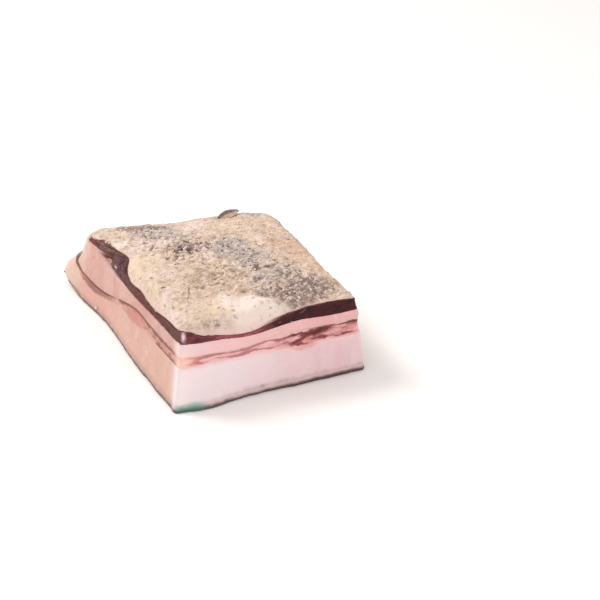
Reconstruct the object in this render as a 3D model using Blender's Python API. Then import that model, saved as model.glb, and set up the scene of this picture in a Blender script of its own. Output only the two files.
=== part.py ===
"""A square-cut slab of cured pork fatback, lying on its rind. From the bottom up it is rind and thick
back fat, a thin lean streak, a band of fat, a dark lean band, and a rough salted crust of fat.
Metres, Z up, standing on z = 0 with the middle of its plan at the origin."""

import math

import bpy
import bmesh
import numpy as np
from mathutils import Matrix, Vector
from mathutils.geometry import delaunay_2d_cdt

# The slab is laid out from its near bottom corner: X along the front cut, Y to the back, Z up.
# Its plan is first a WIDTH by DEPTH rectangle, which block() then leans, splays and rounds.
WIDTH = 0.131
DEPTH = 0.196
LEAN_FRONT = 0.087  # metres inward for each metre up
LEAN_LEFT = 0.160
LEAN_RIGHT = 0.090
SPLAY_LEFT = 0.078  # metres outward for each metre back
SPLAY_RIGHT = -0.020
LEFT_BOW = 0.0035  # the foot of the left cut is hollow here, up to LEFT_BOW_TOP
LEFT_BOW_Y = 0.112
LEFT_BOW_REACH = 0.045
LEFT_BOW_TOP = 0.035
BACK_TURN = 0.015  # the uncut back edge comes forward this much on its way to the right
BACK_ROUND = (0.020, 0.033)  # and leans in this far at BACK_ROUND_Z, on its left and its right
BACK_ROUND_Z = 0.048

# Corners of the rectangle, anticlockwise from the near left one: radius, steps of its arc, and
# steps of the straight run that follows it
CORNERS = ((0.0025, 2, 22), (0.0025, 2, 18), (0.020, 6, 14), (0.016, 6, 30))
CUT_WAVE = 0.0004  # unevenness of the knife cuts
CUT_WAVE_LENGTHS = (0.03, 0.08)

# Rind and the foot of the slab
RIND = 0.0038
GROOVE_Z = 0.0047
FOOT_RISE = 0.0010
FOOT_ROUND = 0.0015
RIND_PROUD = 0.0003
RIND_GROOVE = 0.0005
FLARE = 0.0046  # the back fat stands out at the far left corner
FLARE_AT = (-0.014, 0.188)
FLARE_REACH = 0.028
FLARE_Z = 0.012
LIP = 0.0045  # and the rind's edge curls forward near the near corner
LIP_AT = (0.022, 0.0)
LIP_REACH = 0.015
LIP_HEIGHT = 0.009

FAT_BULGE = 0.0005  # fat stands proud between its edges, and dried lean shrinks back
LEAN_SHRINK = 0.0006
FOOT_STEPS = 5
STREAK_STEPS = 3
BAND_STEPS = 4

# Upper edge of each layer: its height at the near corner, its fall along the front to the right, its
# fall towards the back between two distances, and swells and dips as (x, y, reach, rise)
FAT_BACK_TOP = {
    "near": 0.0300, "fall_right": 0.0025, "fall_back": 0.0130, "fall_from": 0.060, "fall_to": 0.152,
    "swells": (
        (0.045, 0.000, 0.020, 0.0008),
        (0.086, 0.000, 0.010, -0.0014),
        (0.000, 0.042, 0.022, -0.0020),
        (-0.008, 0.196, 0.018, 0.0065),
    ),
}
STREAK_TOP = {
    "near": 0.0382, "fall_right": -0.0004, "fall_back": 0.0190, "fall_from": 0.062, "fall_to": 0.146,
    "swells": (
        (0.046, 0.000, 0.015, -0.0034),
        (0.019, 0.000, 0.014, -0.0022),
        (0.000, 0.042, 0.024, -0.0026),
        (-0.008, 0.196, 0.018, 0.0065),
    ),
}
FAT_MIDDLE_TOP = {
    "near": 0.0448, "fall_right": 0.0, "fall_back": 0.0015, "fall_from": 0.140, "fall_to": 0.175,
    "swells": (
        (0.048, 0.170, 0.032, -0.0032),
        (0.004, 0.000, 0.013, 0.0018),
        (0.053, 0.000, 0.016, -0.0024),
        (0.086, 0.000, 0.013, 0.0014),
        (0.000, 0.060, 0.045, -0.0012),
    ),
}

# Thickness of the dark lean band, its swells and dips, and the notch where it draws back on the left
LEAN_THICKNESS = 0.0046
LEAN_SWELLS = (
    (0.008, 0.002, 0.010, 0.0046),
    (0.045, 0.000, 0.024, -0.0026),
    (0.108, 0.000, 0.026, 0.0046),
    (0.000, 0.024, 0.011, 0.0024),
    (0.000, 0.050, 0.013, -0.0024),
    (0.000, 0.070, 0.008, 0.0016),
    (0.000, 0.087, 0.008, -0.0012),
    (0.003, 0.118, 0.017, 0.0030),
    (-0.004, 0.168, 0.018, -0.0028),
    (0.050, 0.175, 0.034, -0.0020),
)
NOTCH = (-0.005, 0.129, 0.0065, 0.0050)

# Crust: its crest, how it falls to the front, back and right, and where its edge draws back from
# the slab's own to bare the lean
CREST = 0.0595
CREST_FALL_FRONT = 0.0030
CREST_FRONT_REACH = 0.022
CREST_FALL_BACK = 0.0145
CREST_BACK_FROM, CREST_BACK_TO = 0.085, 0.178
CREST_FALL_RIGHT = 0.0040
CREST_RIGHT_FROM, CREST_RIGHT_TO = 0.090, 0.132
CRUST_LEAST = 0.0022
CRUST_SWELLS = (
    (0.050, 0.162, 0.030, -0.0020),
    (0.046, 0.100, 0.013, 0.0022),
    (0.036, 0.108, 0.007, 0.0014),
    (0.060, 0.012, 0.020, 0.0012),
    (0.040, 0.050, 0.010, -0.0014),
    (0.009, 0.087, 0.014, -0.0010),
    (0.029, 0.007, 0.008, 0.0010),
    (0.092, 0.030, 0.018, 0.0008),
    (0.076, 0.118, 0.018, -0.0014),
)
EDGE_BARE = 0.0010
BARE_SWELLS = (
    (-0.002, 0.1215, 0.017, 0.0082),
    (-0.006, 0.156, 0.020, 0.0035),
)
EDGE_ROUND = 0.0095
EDGE_STEPS = 5

# Relief of the crust: broad folds everywhere, and a rough grain where salt and pepper lie thick
FOLDS = 0.0010
FOLD_LENGTHS = (0.014, 0.045)
ROUGH = 0.0009
ROUGH_LENGTHS = (0.006, 0.011)
ROUGH_EVERYWHERE = 0.35
ROUGH_MOST = 1.2
ROUGH_ZONES = (
    (0.046, 0.100, 0.018, 0.90),
    (0.092, 0.030, 0.022, 0.75),
    (0.062, 0.062, 0.026, 0.35),
    (0.030, 0.130, 0.022, 0.45),
    (0.058, 0.012, 0.018, -0.35),
    (0.012, 0.087, 0.014, -0.25),
)
WAVES = 8

# Coarse salt and cracked pepper on the crust
GRAINS = 62
GRAIN_RADIUS = (0.0009, 0.0014)
GRAIN_STRETCH = (0.75, 1.15)
GRAIN_APART = 0.0065
GRAIN_SINK = 0.00018
GRAIN_EDGE = 0.3  # share of the rounded edge that stays free of them

# A dried scrap that curls up from the back edge of the crust
SCRAP_FROM = (0.0822, 0.1457, 0.0497)
SCRAP_TO = (0.1012, 0.1497, 0.0527)
SCRAP_ARCH = 0.0018
SCRAP_WIDTH = 0.0034
SCRAP_THICKNESS = 0.0010
SCRAP_STEPS = 8
SCRAP_SIDES = 6

# How closely the faces' points are laid, and their stray and clearance as shares of the spacing
CRUST_SPACING = 0.0030
LEAN_SPACING = 0.013
HIDDEN_SPACING = 0.024
STRAY = 0.3
CLEARANCE = 0.5

GAP = 0.0003
SHARP_ANGLE = math.radians(40.0)
SEED = 11

FAT_PINK = (0.78, 0.52, 0.47)
FAT_MIDDLE_PINK = (0.78, 0.46, 0.42)
FAT_ROUGHNESS = 0.45
STREAK_RED = (0.50, 0.16, 0.13)
LEAN_DARK = (0.10, 0.030, 0.032)
LEAN_ROUGHNESS = 0.5
CRUST_CREAM = (0.66, 0.50, 0.37)
CRUST_ROUGHNESS = 0.7


def ease(start, end, value):
    """0 up to start, 1 from end on, and a smooth S between them."""
    share = np.clip((value - start) / (end - start), 0.0, 1.0)
    return share * share * (3.0 - 2.0 * share)


def swell(x, y, bumps):
    """Sum of the round swells and dips at (x, y)."""
    total = np.zeros(np.shape(x))
    for centre_x, centre_y, reach, rise in bumps:
        total += rise * np.exp(-((x - centre_x) ** 2 + (y - centre_y) ** 2) / reach**2)
    return total


def waves(x, y, lengths, seed):
    """Uneven relief of about -1 to 1: plane waves of random way, phase and length."""
    draw = np.random.default_rng(seed)
    total = np.zeros(np.shape(x))
    for _ in range(WAVES):
        length = draw.uniform(*lengths)
        way = draw.uniform(0.0, 2.0 * math.pi)
        phase = draw.uniform(0.0, 2.0 * math.pi)
        total += np.sin((x * math.cos(way) + y * math.sin(way)) * 2.0 * math.pi / length + phase)
    return total / math.sqrt(WAVES)


def block(x, y, z):
    """Place, at height z, of the rectangle's point (x, y)."""
    front = LEAN_FRONT * z
    across = x / WIDTH
    rounding = BACK_ROUND[0] + across * (BACK_ROUND[1] - BACK_ROUND[0])
    back = DEPTH - across * BACK_TURN - rounding * (z / BACK_ROUND_Z) ** 2
    deep = front + y / DEPTH * (back - front)
    bow = LEFT_BOW * np.exp(-(((deep - LEFT_BOW_Y) / LEFT_BOW_REACH) ** 2))
    left = LEAN_LEFT * z - SPLAY_LEFT * deep + bow * (1.0 - ease(0.0, LEFT_BOW_TOP, z))
    right = WIDTH - LEAN_RIGHT * z + SPLAY_RIGHT * deep
    return left + across * (right - left), deep


def layer_height(x, y, near, fall_right, fall_back, fall_from, fall_to, swells):
    """Height of a layer's upper edge over (x, y)."""
    return near - fall_right * x / WIDTH - fall_back * ease(fall_from, fall_to, y) + swell(x, y, swells)


def fat_back_top(x, y):
    return layer_height(x, y, **FAT_BACK_TOP)


def streak_top(x, y):
    return layer_height(x, y, **STREAK_TOP)


def fat_middle_top(x, y):
    return layer_height(x, y, **FAT_MIDDLE_TOP)


def lean_top(x, y):
    return fat_middle_top(x, y) + LEAN_THICKNESS + swell(x, y, LEAN_SWELLS)


def crust_top(x, y):
    """The crest with its falls and swells, its folds and its roughness, never thinner than CRUST_LEAST."""
    height = CREST - CREST_FALL_FRONT * np.exp(-y / CREST_FRONT_REACH)
    height = height - CREST_FALL_BACK * ease(CREST_BACK_FROM, CREST_BACK_TO, y)
    height = height - CREST_FALL_RIGHT * ease(CREST_RIGHT_FROM, CREST_RIGHT_TO, x)
    height = height + swell(x, y, CRUST_SWELLS) + FOLDS * waves(x, y, FOLD_LENGTHS, SEED)
    rough = np.clip(ROUGH_EVERYWHERE + swell(x, y, ROUGH_ZONES), 0.0, ROUGH_MOST)
    height = height + ROUGH * rough * waves(x, y, ROUGH_LENGTHS, SEED + 1)
    return np.maximum(height, lean_top(x, y) + CRUST_LEAST)


def shrink(flat, inset):
    """Flat points drawn in by inset towards the middle, or pushed out where inset is negative."""
    middle = np.array([WIDTH, DEPTH]) / 2.0
    return flat - (flat - middle) / middle * np.reshape(inset, (-1, 1))


def outline():
    """The rectangle with rounded corners, anticlockwise from the near left corner, its cuts uneven."""
    arcs = []
    inward = ((1, 1), (-1, 1), (-1, -1), (1, -1))
    for number, ((radius, steps, _), (side_x, side_y)) in enumerate(zip(CORNERS, inward)):
        angles = math.pi * (1.0 + number / 2.0) + np.linspace(0.0, math.pi / 2.0, steps + 1)
        centre = (side_x * radius % WIDTH, side_y * radius % DEPTH)
        arcs.append(np.column_stack([np.cos(angles), np.sin(angles)]) * radius + centre)
    runs = []
    for here, after, (_, _, steps) in zip(arcs, arcs[1:] + arcs[:1], CORNERS):
        runs.append(here)
        runs.append(np.linspace(here[-1], after[0], steps + 1)[1:-1])
    ring = np.concatenate(runs)
    return shrink(ring, CUT_WAVE * waves(ring[:, 0], ring[:, 1], CUT_WAVE_LENGTHS, SEED + 2))


def raised(flat, z):
    """Flat points at the heights z."""
    z = np.broadcast_to(z, len(flat))
    x, y = block(flat[:, 0], flat[:, 1], z)
    return np.column_stack([x, y, z])


def laid(flat, height):
    """Flat points laid on the surface height(x, y), which is read where the leaning block puts them."""
    points = raised(flat, BACK_ROUND_Z)
    for _ in range(4):
        points = raised(flat, height(points[:, 0], points[:, 1]))
    return points


def bare_width(flat):
    """How far the crust's edge lies in from the slab's own near each of the flat points."""
    place = raised(flat, BACK_ROUND_Z)
    return EDGE_BARE + swell(place[:, 0], place[:, 1], BARE_SWELLS)


def lean_outline(ring):
    """The dark lean's own outline, with the notch in its left edge."""
    place = raised(ring, BACK_ROUND_Z)
    return shrink(ring, swell(place[:, 0], place[:, 1], (NOTCH,)))


def on_crust(flat):
    """Flat points laid on the crust's rounded edge or on its top."""
    edge = np.minimum(flat, (WIDTH, DEPTH) - flat).min(axis=1) - bare_width(flat)
    turn = np.arccos(1.0 - np.clip(edge / EDGE_ROUND, 0.0, 1.0))
    foot, top = laid(flat, lean_top)[:, 2], laid(flat, crust_top)[:, 2]
    return raised(flat, foot + (top - foot) * np.sin(turn))


def clear_inside(points, ring, gap):
    """Which flat points lie inside the ring and at least gap from its edges."""
    behind = points[:, None] - ring[None]
    ahead = np.roll(behind, -1, axis=1)
    edge = behind - ahead
    share = np.clip((behind * edge).sum(2) / (edge**2).sum(2), 0.0, 1.0)
    nearest = np.linalg.norm(behind - share[..., None] * edge, axis=2).min(axis=1)
    cross = behind[..., 0] * ahead[..., 1] - behind[..., 1] * ahead[..., 0]
    turned = np.arctan2(cross, (behind * ahead).sum(2)).sum(axis=1)
    return (turned > math.pi) & (nearest > gap)


def lattice(ring, spacing):
    """Flat points about spacing apart inside the ring, each strayed a little."""
    low, high = ring.min(axis=0), ring.max(axis=0)
    steps = np.ceil((high - low) / spacing).astype(int) + 1
    axes = [np.linspace(low[i], high[i], steps[i]) for i in range(2)]
    points = np.stack(np.meshgrid(*axes), axis=-1).reshape(-1, 2)
    points = points + np.random.default_rng(SEED).uniform(-STRAY, STRAY, points.shape) * spacing
    return points[clear_inside(points, ring, CLEARANCE * spacing)]


def web(rings, spacing):
    """Flat points and triangles of a face: strips from ring to ring, then a web inside the last."""
    count = len(rings[0])
    triangles = []
    for strip in range(len(rings) - 1):
        for column in range(count):
            outer, outer_next = strip * count + column, strip * count + (column + 1) % count
            triangles.append((outer, outer_next, outer_next + count))
            triangles.append((outer, outer_next + count, outer + count))
    inner = np.concatenate([rings[-1], lattice(rings[-1], spacing)])
    found = delaunay_2d_cdt([Vector(point) for point in inner], [], [list(range(count))], 1, 1e-7)
    origins = [origin[0] + (len(rings) - 1) * count for origin in found[3]]
    triangles += [tuple(origins[corner] for corner in face) for face in found[2]]
    return np.concatenate([*rings[:-1], inner]), triangles


def interface(rings, height, spacing=HIDDEN_SPACING):
    """A face shared by two layers, as its upper layer's under face and its lower layer's upper face."""
    flat, triangles = web(rings, spacing)
    points = laid(flat, height)
    half = np.array([0.0, 0.0, GAP / 2.0])
    return (points + half, triangles), (points - half, triangles)


def plain_wall(ring, under, over, steps, bulge):
    """Rings between two faces of the same outline, standing proud by bulge halfway up."""
    low, high = under[:len(ring), 2], over[:len(ring), 2]
    rows = []
    for share in np.linspace(0.0, 1.0, steps + 1)[1:-1]:
        out = bulge * math.sin(math.pi * share)
        rows.append(raised(shrink(ring, -out), low + share * (high - low)))
    return rows


def foot_push(place):
    """How far the back fat stands out: the flare of its far left corner and the lip of its rind."""
    x, y, z = place.T
    flare = swell(x, y, ((*FLARE_AT, FLARE_REACH, FLARE),))
    lip = swell(x, y, ((*LIP_AT, LIP_REACH, LIP),))
    fall = np.clip(1.0 - z / LIP_HEIGHT, 0.0, 1.0)
    return flare * np.sin(math.pi * z / fat_back_top(x, y)) + lip * fall**2


def foot_ring(ring, z, out):
    """A ring of the back fat's wall at the heights z, pushed out by out and by its flare and lip."""
    return raised(shrink(ring, -(out + foot_push(raised(ring, z)))), z)


def foot_wall(ring, over):
    """The back fat's wall: rounded foot, rind standing proud, a groove over it, then the fat."""
    rows = [
        foot_ring(ring, FOOT_RISE, 0.0),
        foot_ring(ring, RIND, RIND_PROUD),
        foot_ring(ring, GROOVE_Z, -RIND_GROOVE),
    ]
    high = over[:len(ring), 2]
    for share in np.linspace(0.0, 1.0, FOOT_STEPS + 1)[1:-1]:
        z = GROOVE_Z + share * (high - GROOVE_Z)
        rows.append(foot_ring(ring, z, FAT_BULGE * math.sin(math.pi * share)))
    return rows


def plan_middle():
    """Middle of the plan, where the origin lies, from the rings that stand out furthest."""
    rings = ((FOOT_RISE, 0.0), (RIND, RIND_PROUD), (FLARE_Z, FAT_BULGE))
    places = np.concatenate([foot_ring(outline(), z, out) for z, out in rings])
    middle = (places.min(axis=0) + places.max(axis=0)) / 2.0
    return np.array([middle[0], middle[1], 0.0])


def crust_rings(ring):
    """Rings of the crust's rounded edge, from its foot on the lean to where the top face starts."""
    bare = bare_width(ring)
    foot = laid(shrink(ring, bare), lean_top)[:, 2]
    brow = laid(shrink(ring, bare + EDGE_ROUND), crust_top)[:, 2]
    rows = []
    for turn in np.linspace(0.0, math.pi / 2.0, EDGE_STEPS + 1)[1:-1]:
        inset = bare + EDGE_ROUND * (1.0 - math.cos(turn))
        rows.append(raised(shrink(ring, inset), foot + (brow - foot) * math.sin(turn)))
    return rows


def material(name, colour, roughness):
    made = bpy.data.materials.new(name)
    made.use_nodes = True
    shader = made.node_tree.nodes["Principled BSDF"]
    shader.inputs["Base Color"].default_value = (*colour, 1.0)
    shader.inputs["Roughness"].default_value = roughness
    return made


def closed_object(name, under, walls, over, made):
    """A closed layer: its under face, the rings of its wall from the bottom up, and its upper face."""
    count = len(walls[0])
    under_points, under_faces = under
    over_points, over_faces = over
    starts = [0] + [len(under_points) + row * count for row in range(len(walls) + 1)]
    faces = [face[::-1] for face in under_faces]
    for lower, upper in zip(starts, starts[1:]):
        for column in range(count):
            after = (column + 1) % count
            faces.append((lower + column, lower + after, upper + after, upper + column))
    faces += [tuple(corner + starts[-1] for corner in face) for face in over_faces]
    points = np.concatenate([under_points, *walls, over_points]) - plan_middle()
    mesh = bpy.data.meshes.new(name)
    mesh.from_pydata(points.tolist(), [], faces)
    mesh.validate()
    mesh.shade_smooth()
    mesh.set_sharp_from_angle(angle=SHARP_ANGLE)
    mesh.materials.append(made)
    thing = bpy.data.objects.new(name, mesh)
    bpy.context.collection.objects.link(thing)
    return thing


def crust_spots(count):
    """Places on the crust for its grains, spread out and thickest where it is rough."""
    draw = np.random.default_rng(SEED + 3)
    ring = shrink(outline(), bare_width(outline()) + GRAIN_EDGE * EDGE_ROUND)
    spots = np.empty((0, 2))
    while len(spots) < count:
        spot = draw.uniform((0.0, 0.0), (WIDTH, DEPTH), (1, 2))
        place = laid(spot, crust_top)
        rough = ROUGH_EVERYWHERE + swell(place[:, 0], place[:, 1], ROUGH_ZONES)[0]
        apart = np.linalg.norm(spots - spot, axis=1)
        crowded = len(spots) and apart.min() < GRAIN_APART
        if draw.random() < rough and not crowded and clear_inside(spot, ring, GRAIN_RADIUS[1])[0]:
            spots = np.concatenate([spots, spot])
    return on_crust(spots)


def add_grains(collection):
    """Angular grains of salt and pepper, each a little sunk in the crust."""
    draw = np.random.default_rng(SEED + 4)
    for place in crust_spots(GRAINS) - plan_middle():
        mesh = bpy.data.meshes.new("grain")
        shape = bmesh.new()
        bmesh.ops.create_icosphere(shape, subdivisions=1, radius=draw.uniform(*GRAIN_RADIUS))
        stretch = Matrix.Diagonal((*draw.uniform(*GRAIN_STRETCH, 3), 1.0))
        turn = Matrix.Rotation(draw.uniform(0.0, math.pi), 4, Vector(draw.normal(size=3)))
        shape.transform(turn @ stretch)
        shape.to_mesh(mesh)
        shape.free()
        grain = bpy.data.objects.new("grain", mesh)
        grain.location = place - (0.0, 0.0, GRAIN_SINK)
        collection.objects.link(grain)


def scrap_sections():
    """The scrap's start, its end, and the flat oval sections between them along an arched line."""
    start, end = np.array(SCRAP_FROM), np.array(SCRAP_TO)
    along = (end - start) / np.linalg.norm(end - start)
    flat_way = np.cross((0.0, 0.0, 1.0), along)
    thin_way = np.cross(along, flat_way)
    angles = np.arange(SCRAP_SIDES) * 2.0 * math.pi / SCRAP_SIDES
    oval = (np.outer(np.cos(angles), flat_way) * SCRAP_WIDTH
            + np.outer(np.sin(angles), thin_way) * SCRAP_THICKNESS)
    sections = []
    for share in np.linspace(0.0, 1.0, SCRAP_STEPS + 1)[1:-1]:
        arch = math.sin(math.pi * share)
        sections.append(start + share * (end - start) + arch * SCRAP_ARCH * thin_way + math.sqrt(arch) * oval)
    return start, end, sections


def add_scrap(collection):
    """The curled scrap, closed to a point at both ends."""
    start, end, sections = scrap_sections()
    mesh = bpy.data.meshes.new("scrap")
    shape = bmesh.new()
    rings = [[shape.verts.new(point) for point in section] for section in sections]
    for lower, upper in zip(rings, rings[1:]):
        for side in range(SCRAP_SIDES):
            after = (side + 1) % SCRAP_SIDES
            shape.faces.new((lower[side], lower[after], upper[after], upper[side]))
    for ring, tip in ((rings[0], start), (rings[-1], end)):
        point = shape.verts.new(tip)
        for side in range(SCRAP_SIDES):
            shape.faces.new((ring[side], ring[(side + 1) % SCRAP_SIDES], point))
    bmesh.ops.recalc_face_normals(shape, faces=shape.faces)
    bmesh.ops.translate(shape, verts=shape.verts, vec=-plan_middle())
    shape.to_mesh(mesh)
    shape.free()
    collection.objects.link(bpy.data.objects.new("scrap", mesh))


def fuse(thing, collection):
    """Joins the collection's pieces to the thing by one union, then removes them."""
    bpy.context.scene.collection.children.link(collection)
    union = thing.modifiers.new("fused pieces", "BOOLEAN")
    union.operation = "UNION"
    union.operand_type = "COLLECTION"
    union.collection = collection
    bpy.context.view_layer.objects.active = thing
    bpy.ops.object.modifier_apply(modifier=union.name)
    for piece in list(collection.objects):
        bpy.data.objects.remove(piece)
    bpy.data.collections.remove(collection)


def fat_back(ring, over):
    """Thick back fat on its rind, with a flat foot."""
    foot = shrink(ring, FOOT_ROUND - foot_push(raised(ring, 0.0)))
    flat, triangles = web([foot], HIDDEN_SPACING)
    made = material("fat_back", FAT_PINK, FAT_ROUGHNESS)
    closed_object("fat_back", (raised(flat, 0.0), triangles), foot_wall(ring, over[0]), over, made)


def lean_streak(ring, under, over):
    """The thin lean streak, shrunk back a little between two fats."""
    walls = plain_wall(ring, under[0], over[0], STREAK_STEPS, -LEAN_SHRINK)
    closed_object("lean_streak", under, walls, over, material("lean_streak", STREAK_RED, LEAN_ROUGHNESS))


def fat_middle(ring, under, over):
    """The band of fat between the two leans."""
    walls = plain_wall(ring, under[0], over[0], BAND_STEPS, FAT_BULGE)
    closed_object("fat_middle", under, walls, over, material("fat_middle", FAT_MIDDLE_PINK, FAT_ROUGHNESS))


def lean_band(ring, under, over):
    """The dark lean band under the crust."""
    walls = plain_wall(ring, under[0], over[0], BAND_STEPS, -LEAN_SHRINK)
    closed_object("lean_top", under, walls, over, material("lean_top", LEAN_DARK, LEAN_ROUGHNESS))


def fat_cap(ring, under):
    """The crust of fat, with its grains and its scrap fused on."""
    brow = shrink(ring, bare_width(ring) + EDGE_ROUND)
    flat, triangles = web([brow], CRUST_SPACING)
    over = (laid(flat, crust_top), triangles)
    made = material("fat_cap", CRUST_CREAM, CRUST_ROUGHNESS)
    crust = closed_object("fat_cap", under, crust_rings(ring), over, made)
    fused = bpy.data.collections.new("fused")
    add_grains(fused)
    add_scrap(fused)
    fuse(crust, fused)


def build():
    for thing in list(bpy.data.objects):
        bpy.data.objects.remove(thing)
    ring = outline()
    lean_ring = lean_outline(ring)
    crust_foot = shrink(ring, bare_width(ring))
    streak_under, back_over = interface([ring], fat_back_top)
    middle_under, streak_over = interface([ring], streak_top)
    middle_over = interface([ring, lean_ring], fat_middle_top)[1]
    lean_under = interface([lean_ring], fat_middle_top)[0]
    lean_over = interface([lean_ring, crust_foot], lean_top, LEAN_SPACING)[1]
    cap_under = interface([crust_foot], lean_top, LEAN_SPACING)[0]
    fat_back(ring, back_over)
    lean_streak(ring, streak_under, streak_over)
    fat_middle(ring, middle_under, middle_over)
    lean_band(lean_ring, lean_under, lean_over)
    fat_cap(ring, cap_under)


build()
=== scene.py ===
"""Looks of a slab of cured pork fatback. Every skin is laid out as its solid is, from the same sizes:
rind and back fat, a lean streak, a band of fat, a dark lean band, and a rough crust with salt and pepper."""

import collections
import itertools
import math

import bpy
import numpy as np
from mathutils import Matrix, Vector


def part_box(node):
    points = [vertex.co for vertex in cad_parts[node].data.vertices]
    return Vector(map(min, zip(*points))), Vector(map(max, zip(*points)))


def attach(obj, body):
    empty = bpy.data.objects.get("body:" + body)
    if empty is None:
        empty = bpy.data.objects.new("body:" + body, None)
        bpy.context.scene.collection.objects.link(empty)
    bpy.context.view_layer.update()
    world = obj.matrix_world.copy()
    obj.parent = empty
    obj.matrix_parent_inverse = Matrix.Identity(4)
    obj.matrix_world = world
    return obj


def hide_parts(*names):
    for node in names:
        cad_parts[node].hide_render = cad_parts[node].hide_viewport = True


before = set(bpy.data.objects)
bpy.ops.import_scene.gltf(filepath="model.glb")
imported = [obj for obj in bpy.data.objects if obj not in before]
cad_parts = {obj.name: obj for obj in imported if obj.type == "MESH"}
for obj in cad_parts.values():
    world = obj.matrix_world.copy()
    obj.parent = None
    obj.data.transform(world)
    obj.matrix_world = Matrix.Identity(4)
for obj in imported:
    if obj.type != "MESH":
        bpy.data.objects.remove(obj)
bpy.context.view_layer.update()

# The slab is laid out from its near bottom corner: X along the front cut, Y to the back, Z up.
# Its plan is first a WIDTH by DEPTH rectangle, which block() then leans, splays and rounds.
WIDTH = 0.131
DEPTH = 0.196
MIDDLE = np.array([WIDTH, DEPTH]) / 2.0
LEAN_FRONT = 0.087
LEAN_LEFT = 0.160
LEAN_RIGHT = 0.090
SPLAY_LEFT = 0.078
SPLAY_RIGHT = -0.020
LEFT_BOW = 0.0035
LEFT_BOW_Y = 0.112
LEFT_BOW_REACH = 0.045
LEFT_BOW_TOP = 0.035
BACK_TURN = 0.015
BACK_ROUND = (0.020, 0.033)
BACK_ROUND_Z = 0.048
CORNER_RADII = (0.0025, 0.0025, 0.020, 0.016)  # anticlockwise from the near left one
CORNER_POINTS = 25  # points along each of them
CUT_WAVE = 0.0004
CUT_WAVE_LENGTHS = (0.03, 0.08)
LAYING_ROUNDS = 4  # how often a surface's height is read again at the place that it gave

RIND = 0.0038
GROOVE_Z, GROOVE_WIDTH = 0.0047, 0.0011
GROOVE_MARGIN = 0.0010  # the wall's close rows end this far above the groove
FOOT_RISE = 0.0010
FOOT_ROUND = 0.0015
RIND_PROUD = 0.0003
RIND_GROOVE = 0.0005
FLARE = 0.0046
FLARE_AT = (-0.014, 0.188)
FLARE_REACH = 0.028
FLARE_TOP, FLARE_ROWS = 0.020, 12  # the foot's box is taken up to this height, from this many outlines
LIP = 0.0045
LIP_AT = (0.022, 0.0)
LIP_REACH = 0.015
LIP_HEIGHT = 0.009
FAT_BULGE, BULGE_TOP = 0.0005, 0.028
LEAN_SHRINK = 0.0006
BROW_FROM, BROW_ROUND = 0.7, 0.0007  # the dark lean is rounded from this share of its height, this far

# Upper edge of each layer: its height at the near corner, its fall along the front to the right, its
# fall towards the back between two distances, and swells and dips as (x, y, reach, rise)
FAT_BACK_TOP = {
    "near": 0.0300, "fall_right": 0.0025, "fall_back": 0.0130, "fall_from": 0.060, "fall_to": 0.152,
    "swells": (
        (0.045, 0.000, 0.020, 0.0008), (0.086, 0.000, 0.010, -0.0014), (0.000, 0.042, 0.022, -0.0020),
        (-0.008, 0.196, 0.018, 0.0065),
    ),
}
STREAK_TOP = {
    "near": 0.0382, "fall_right": -0.0004, "fall_back": 0.0190, "fall_from": 0.062, "fall_to": 0.146,
    "swells": (
        (0.046, 0.000, 0.015, -0.0034), (0.019, 0.000, 0.014, -0.0022), (0.000, 0.042, 0.024, -0.0026),
        (-0.008, 0.196, 0.018, 0.0065),
    ),
}
FAT_MIDDLE_TOP = {
    "near": 0.0448, "fall_right": 0.0, "fall_back": 0.0015, "fall_from": 0.140, "fall_to": 0.175,
    "swells": (
        (0.048, 0.170, 0.032, -0.0032), (0.004, 0.000, 0.013, 0.0018), (0.053, 0.000, 0.016, -0.0024),
        (0.086, 0.000, 0.013, 0.0014), (0.000, 0.060, 0.045, -0.0012),
    ),
}
LEAN_THICKNESS = 0.0046
LEAN_SWELLS = (
    (0.008, 0.002, 0.010, 0.0046), (0.045, 0.000, 0.024, -0.0026), (0.108, 0.000, 0.026, 0.0046),
    (0.000, 0.024, 0.011, 0.0024), (0.000, 0.050, 0.013, -0.0024), (0.000, 0.070, 0.008, 0.0016),
    (0.000, 0.087, 0.008, -0.0012), (0.003, 0.118, 0.017, 0.0030), (-0.004, 0.168, 0.018, -0.0028),
    (0.050, 0.175, 0.034, -0.0020),
)
NOTCH = (-0.005, 0.129, 0.0065, 0.0050)  # the dark lean draws in here

# Crust
CREST = 0.0595
CREST_FALL_FRONT = 0.0030
CREST_FRONT_REACH = 0.022
CREST_FALL_BACK = 0.0145
CREST_BACK_FROM, CREST_BACK_TO = 0.085, 0.178
CREST_FALL_RIGHT = 0.0040
CREST_RIGHT_FROM, CREST_RIGHT_TO = 0.090, 0.132
CRUST_LEAST = 0.0022
CRUST_SWELLS = (
    (0.050, 0.162, 0.030, -0.0020), (0.046, 0.100, 0.013, 0.0022), (0.036, 0.108, 0.007, 0.0014),
    (0.060, 0.012, 0.020, 0.0012), (0.040, 0.050, 0.010, -0.0014), (0.009, 0.087, 0.014, -0.0010),
    (0.029, 0.007, 0.008, 0.0010), (0.092, 0.030, 0.018, 0.0008), (0.076, 0.118, 0.018, -0.0014),
)
EDGE_BARE = 0.0010
BARE_SWELLS = (
    (-0.002, 0.1215, 0.017, 0.0082), (-0.006, 0.156, 0.020, 0.0035),
)
EDGE_ROUND = 0.0095
EDGE_SOFT = 0.004
FOLDS = 0.0010
FOLD_LENGTHS = (0.014, 0.045)
ROUGH = 0.0009
ROUGH_LENGTHS = (0.006, 0.011)
ROUGH_EVERYWHERE = 0.35
ROUGH_MOST = 1.2
ROUGH_ZONES = (
    (0.046, 0.100, 0.018, 0.90), (0.092, 0.030, 0.022, 0.75), (0.062, 0.062, 0.026, 0.35),
    (0.030, 0.130, 0.022, 0.45), (0.058, 0.012, 0.018, -0.35), (0.012, 0.087, 0.014, -0.25),
)
WAVES = 8
GRAINS = 62
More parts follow.
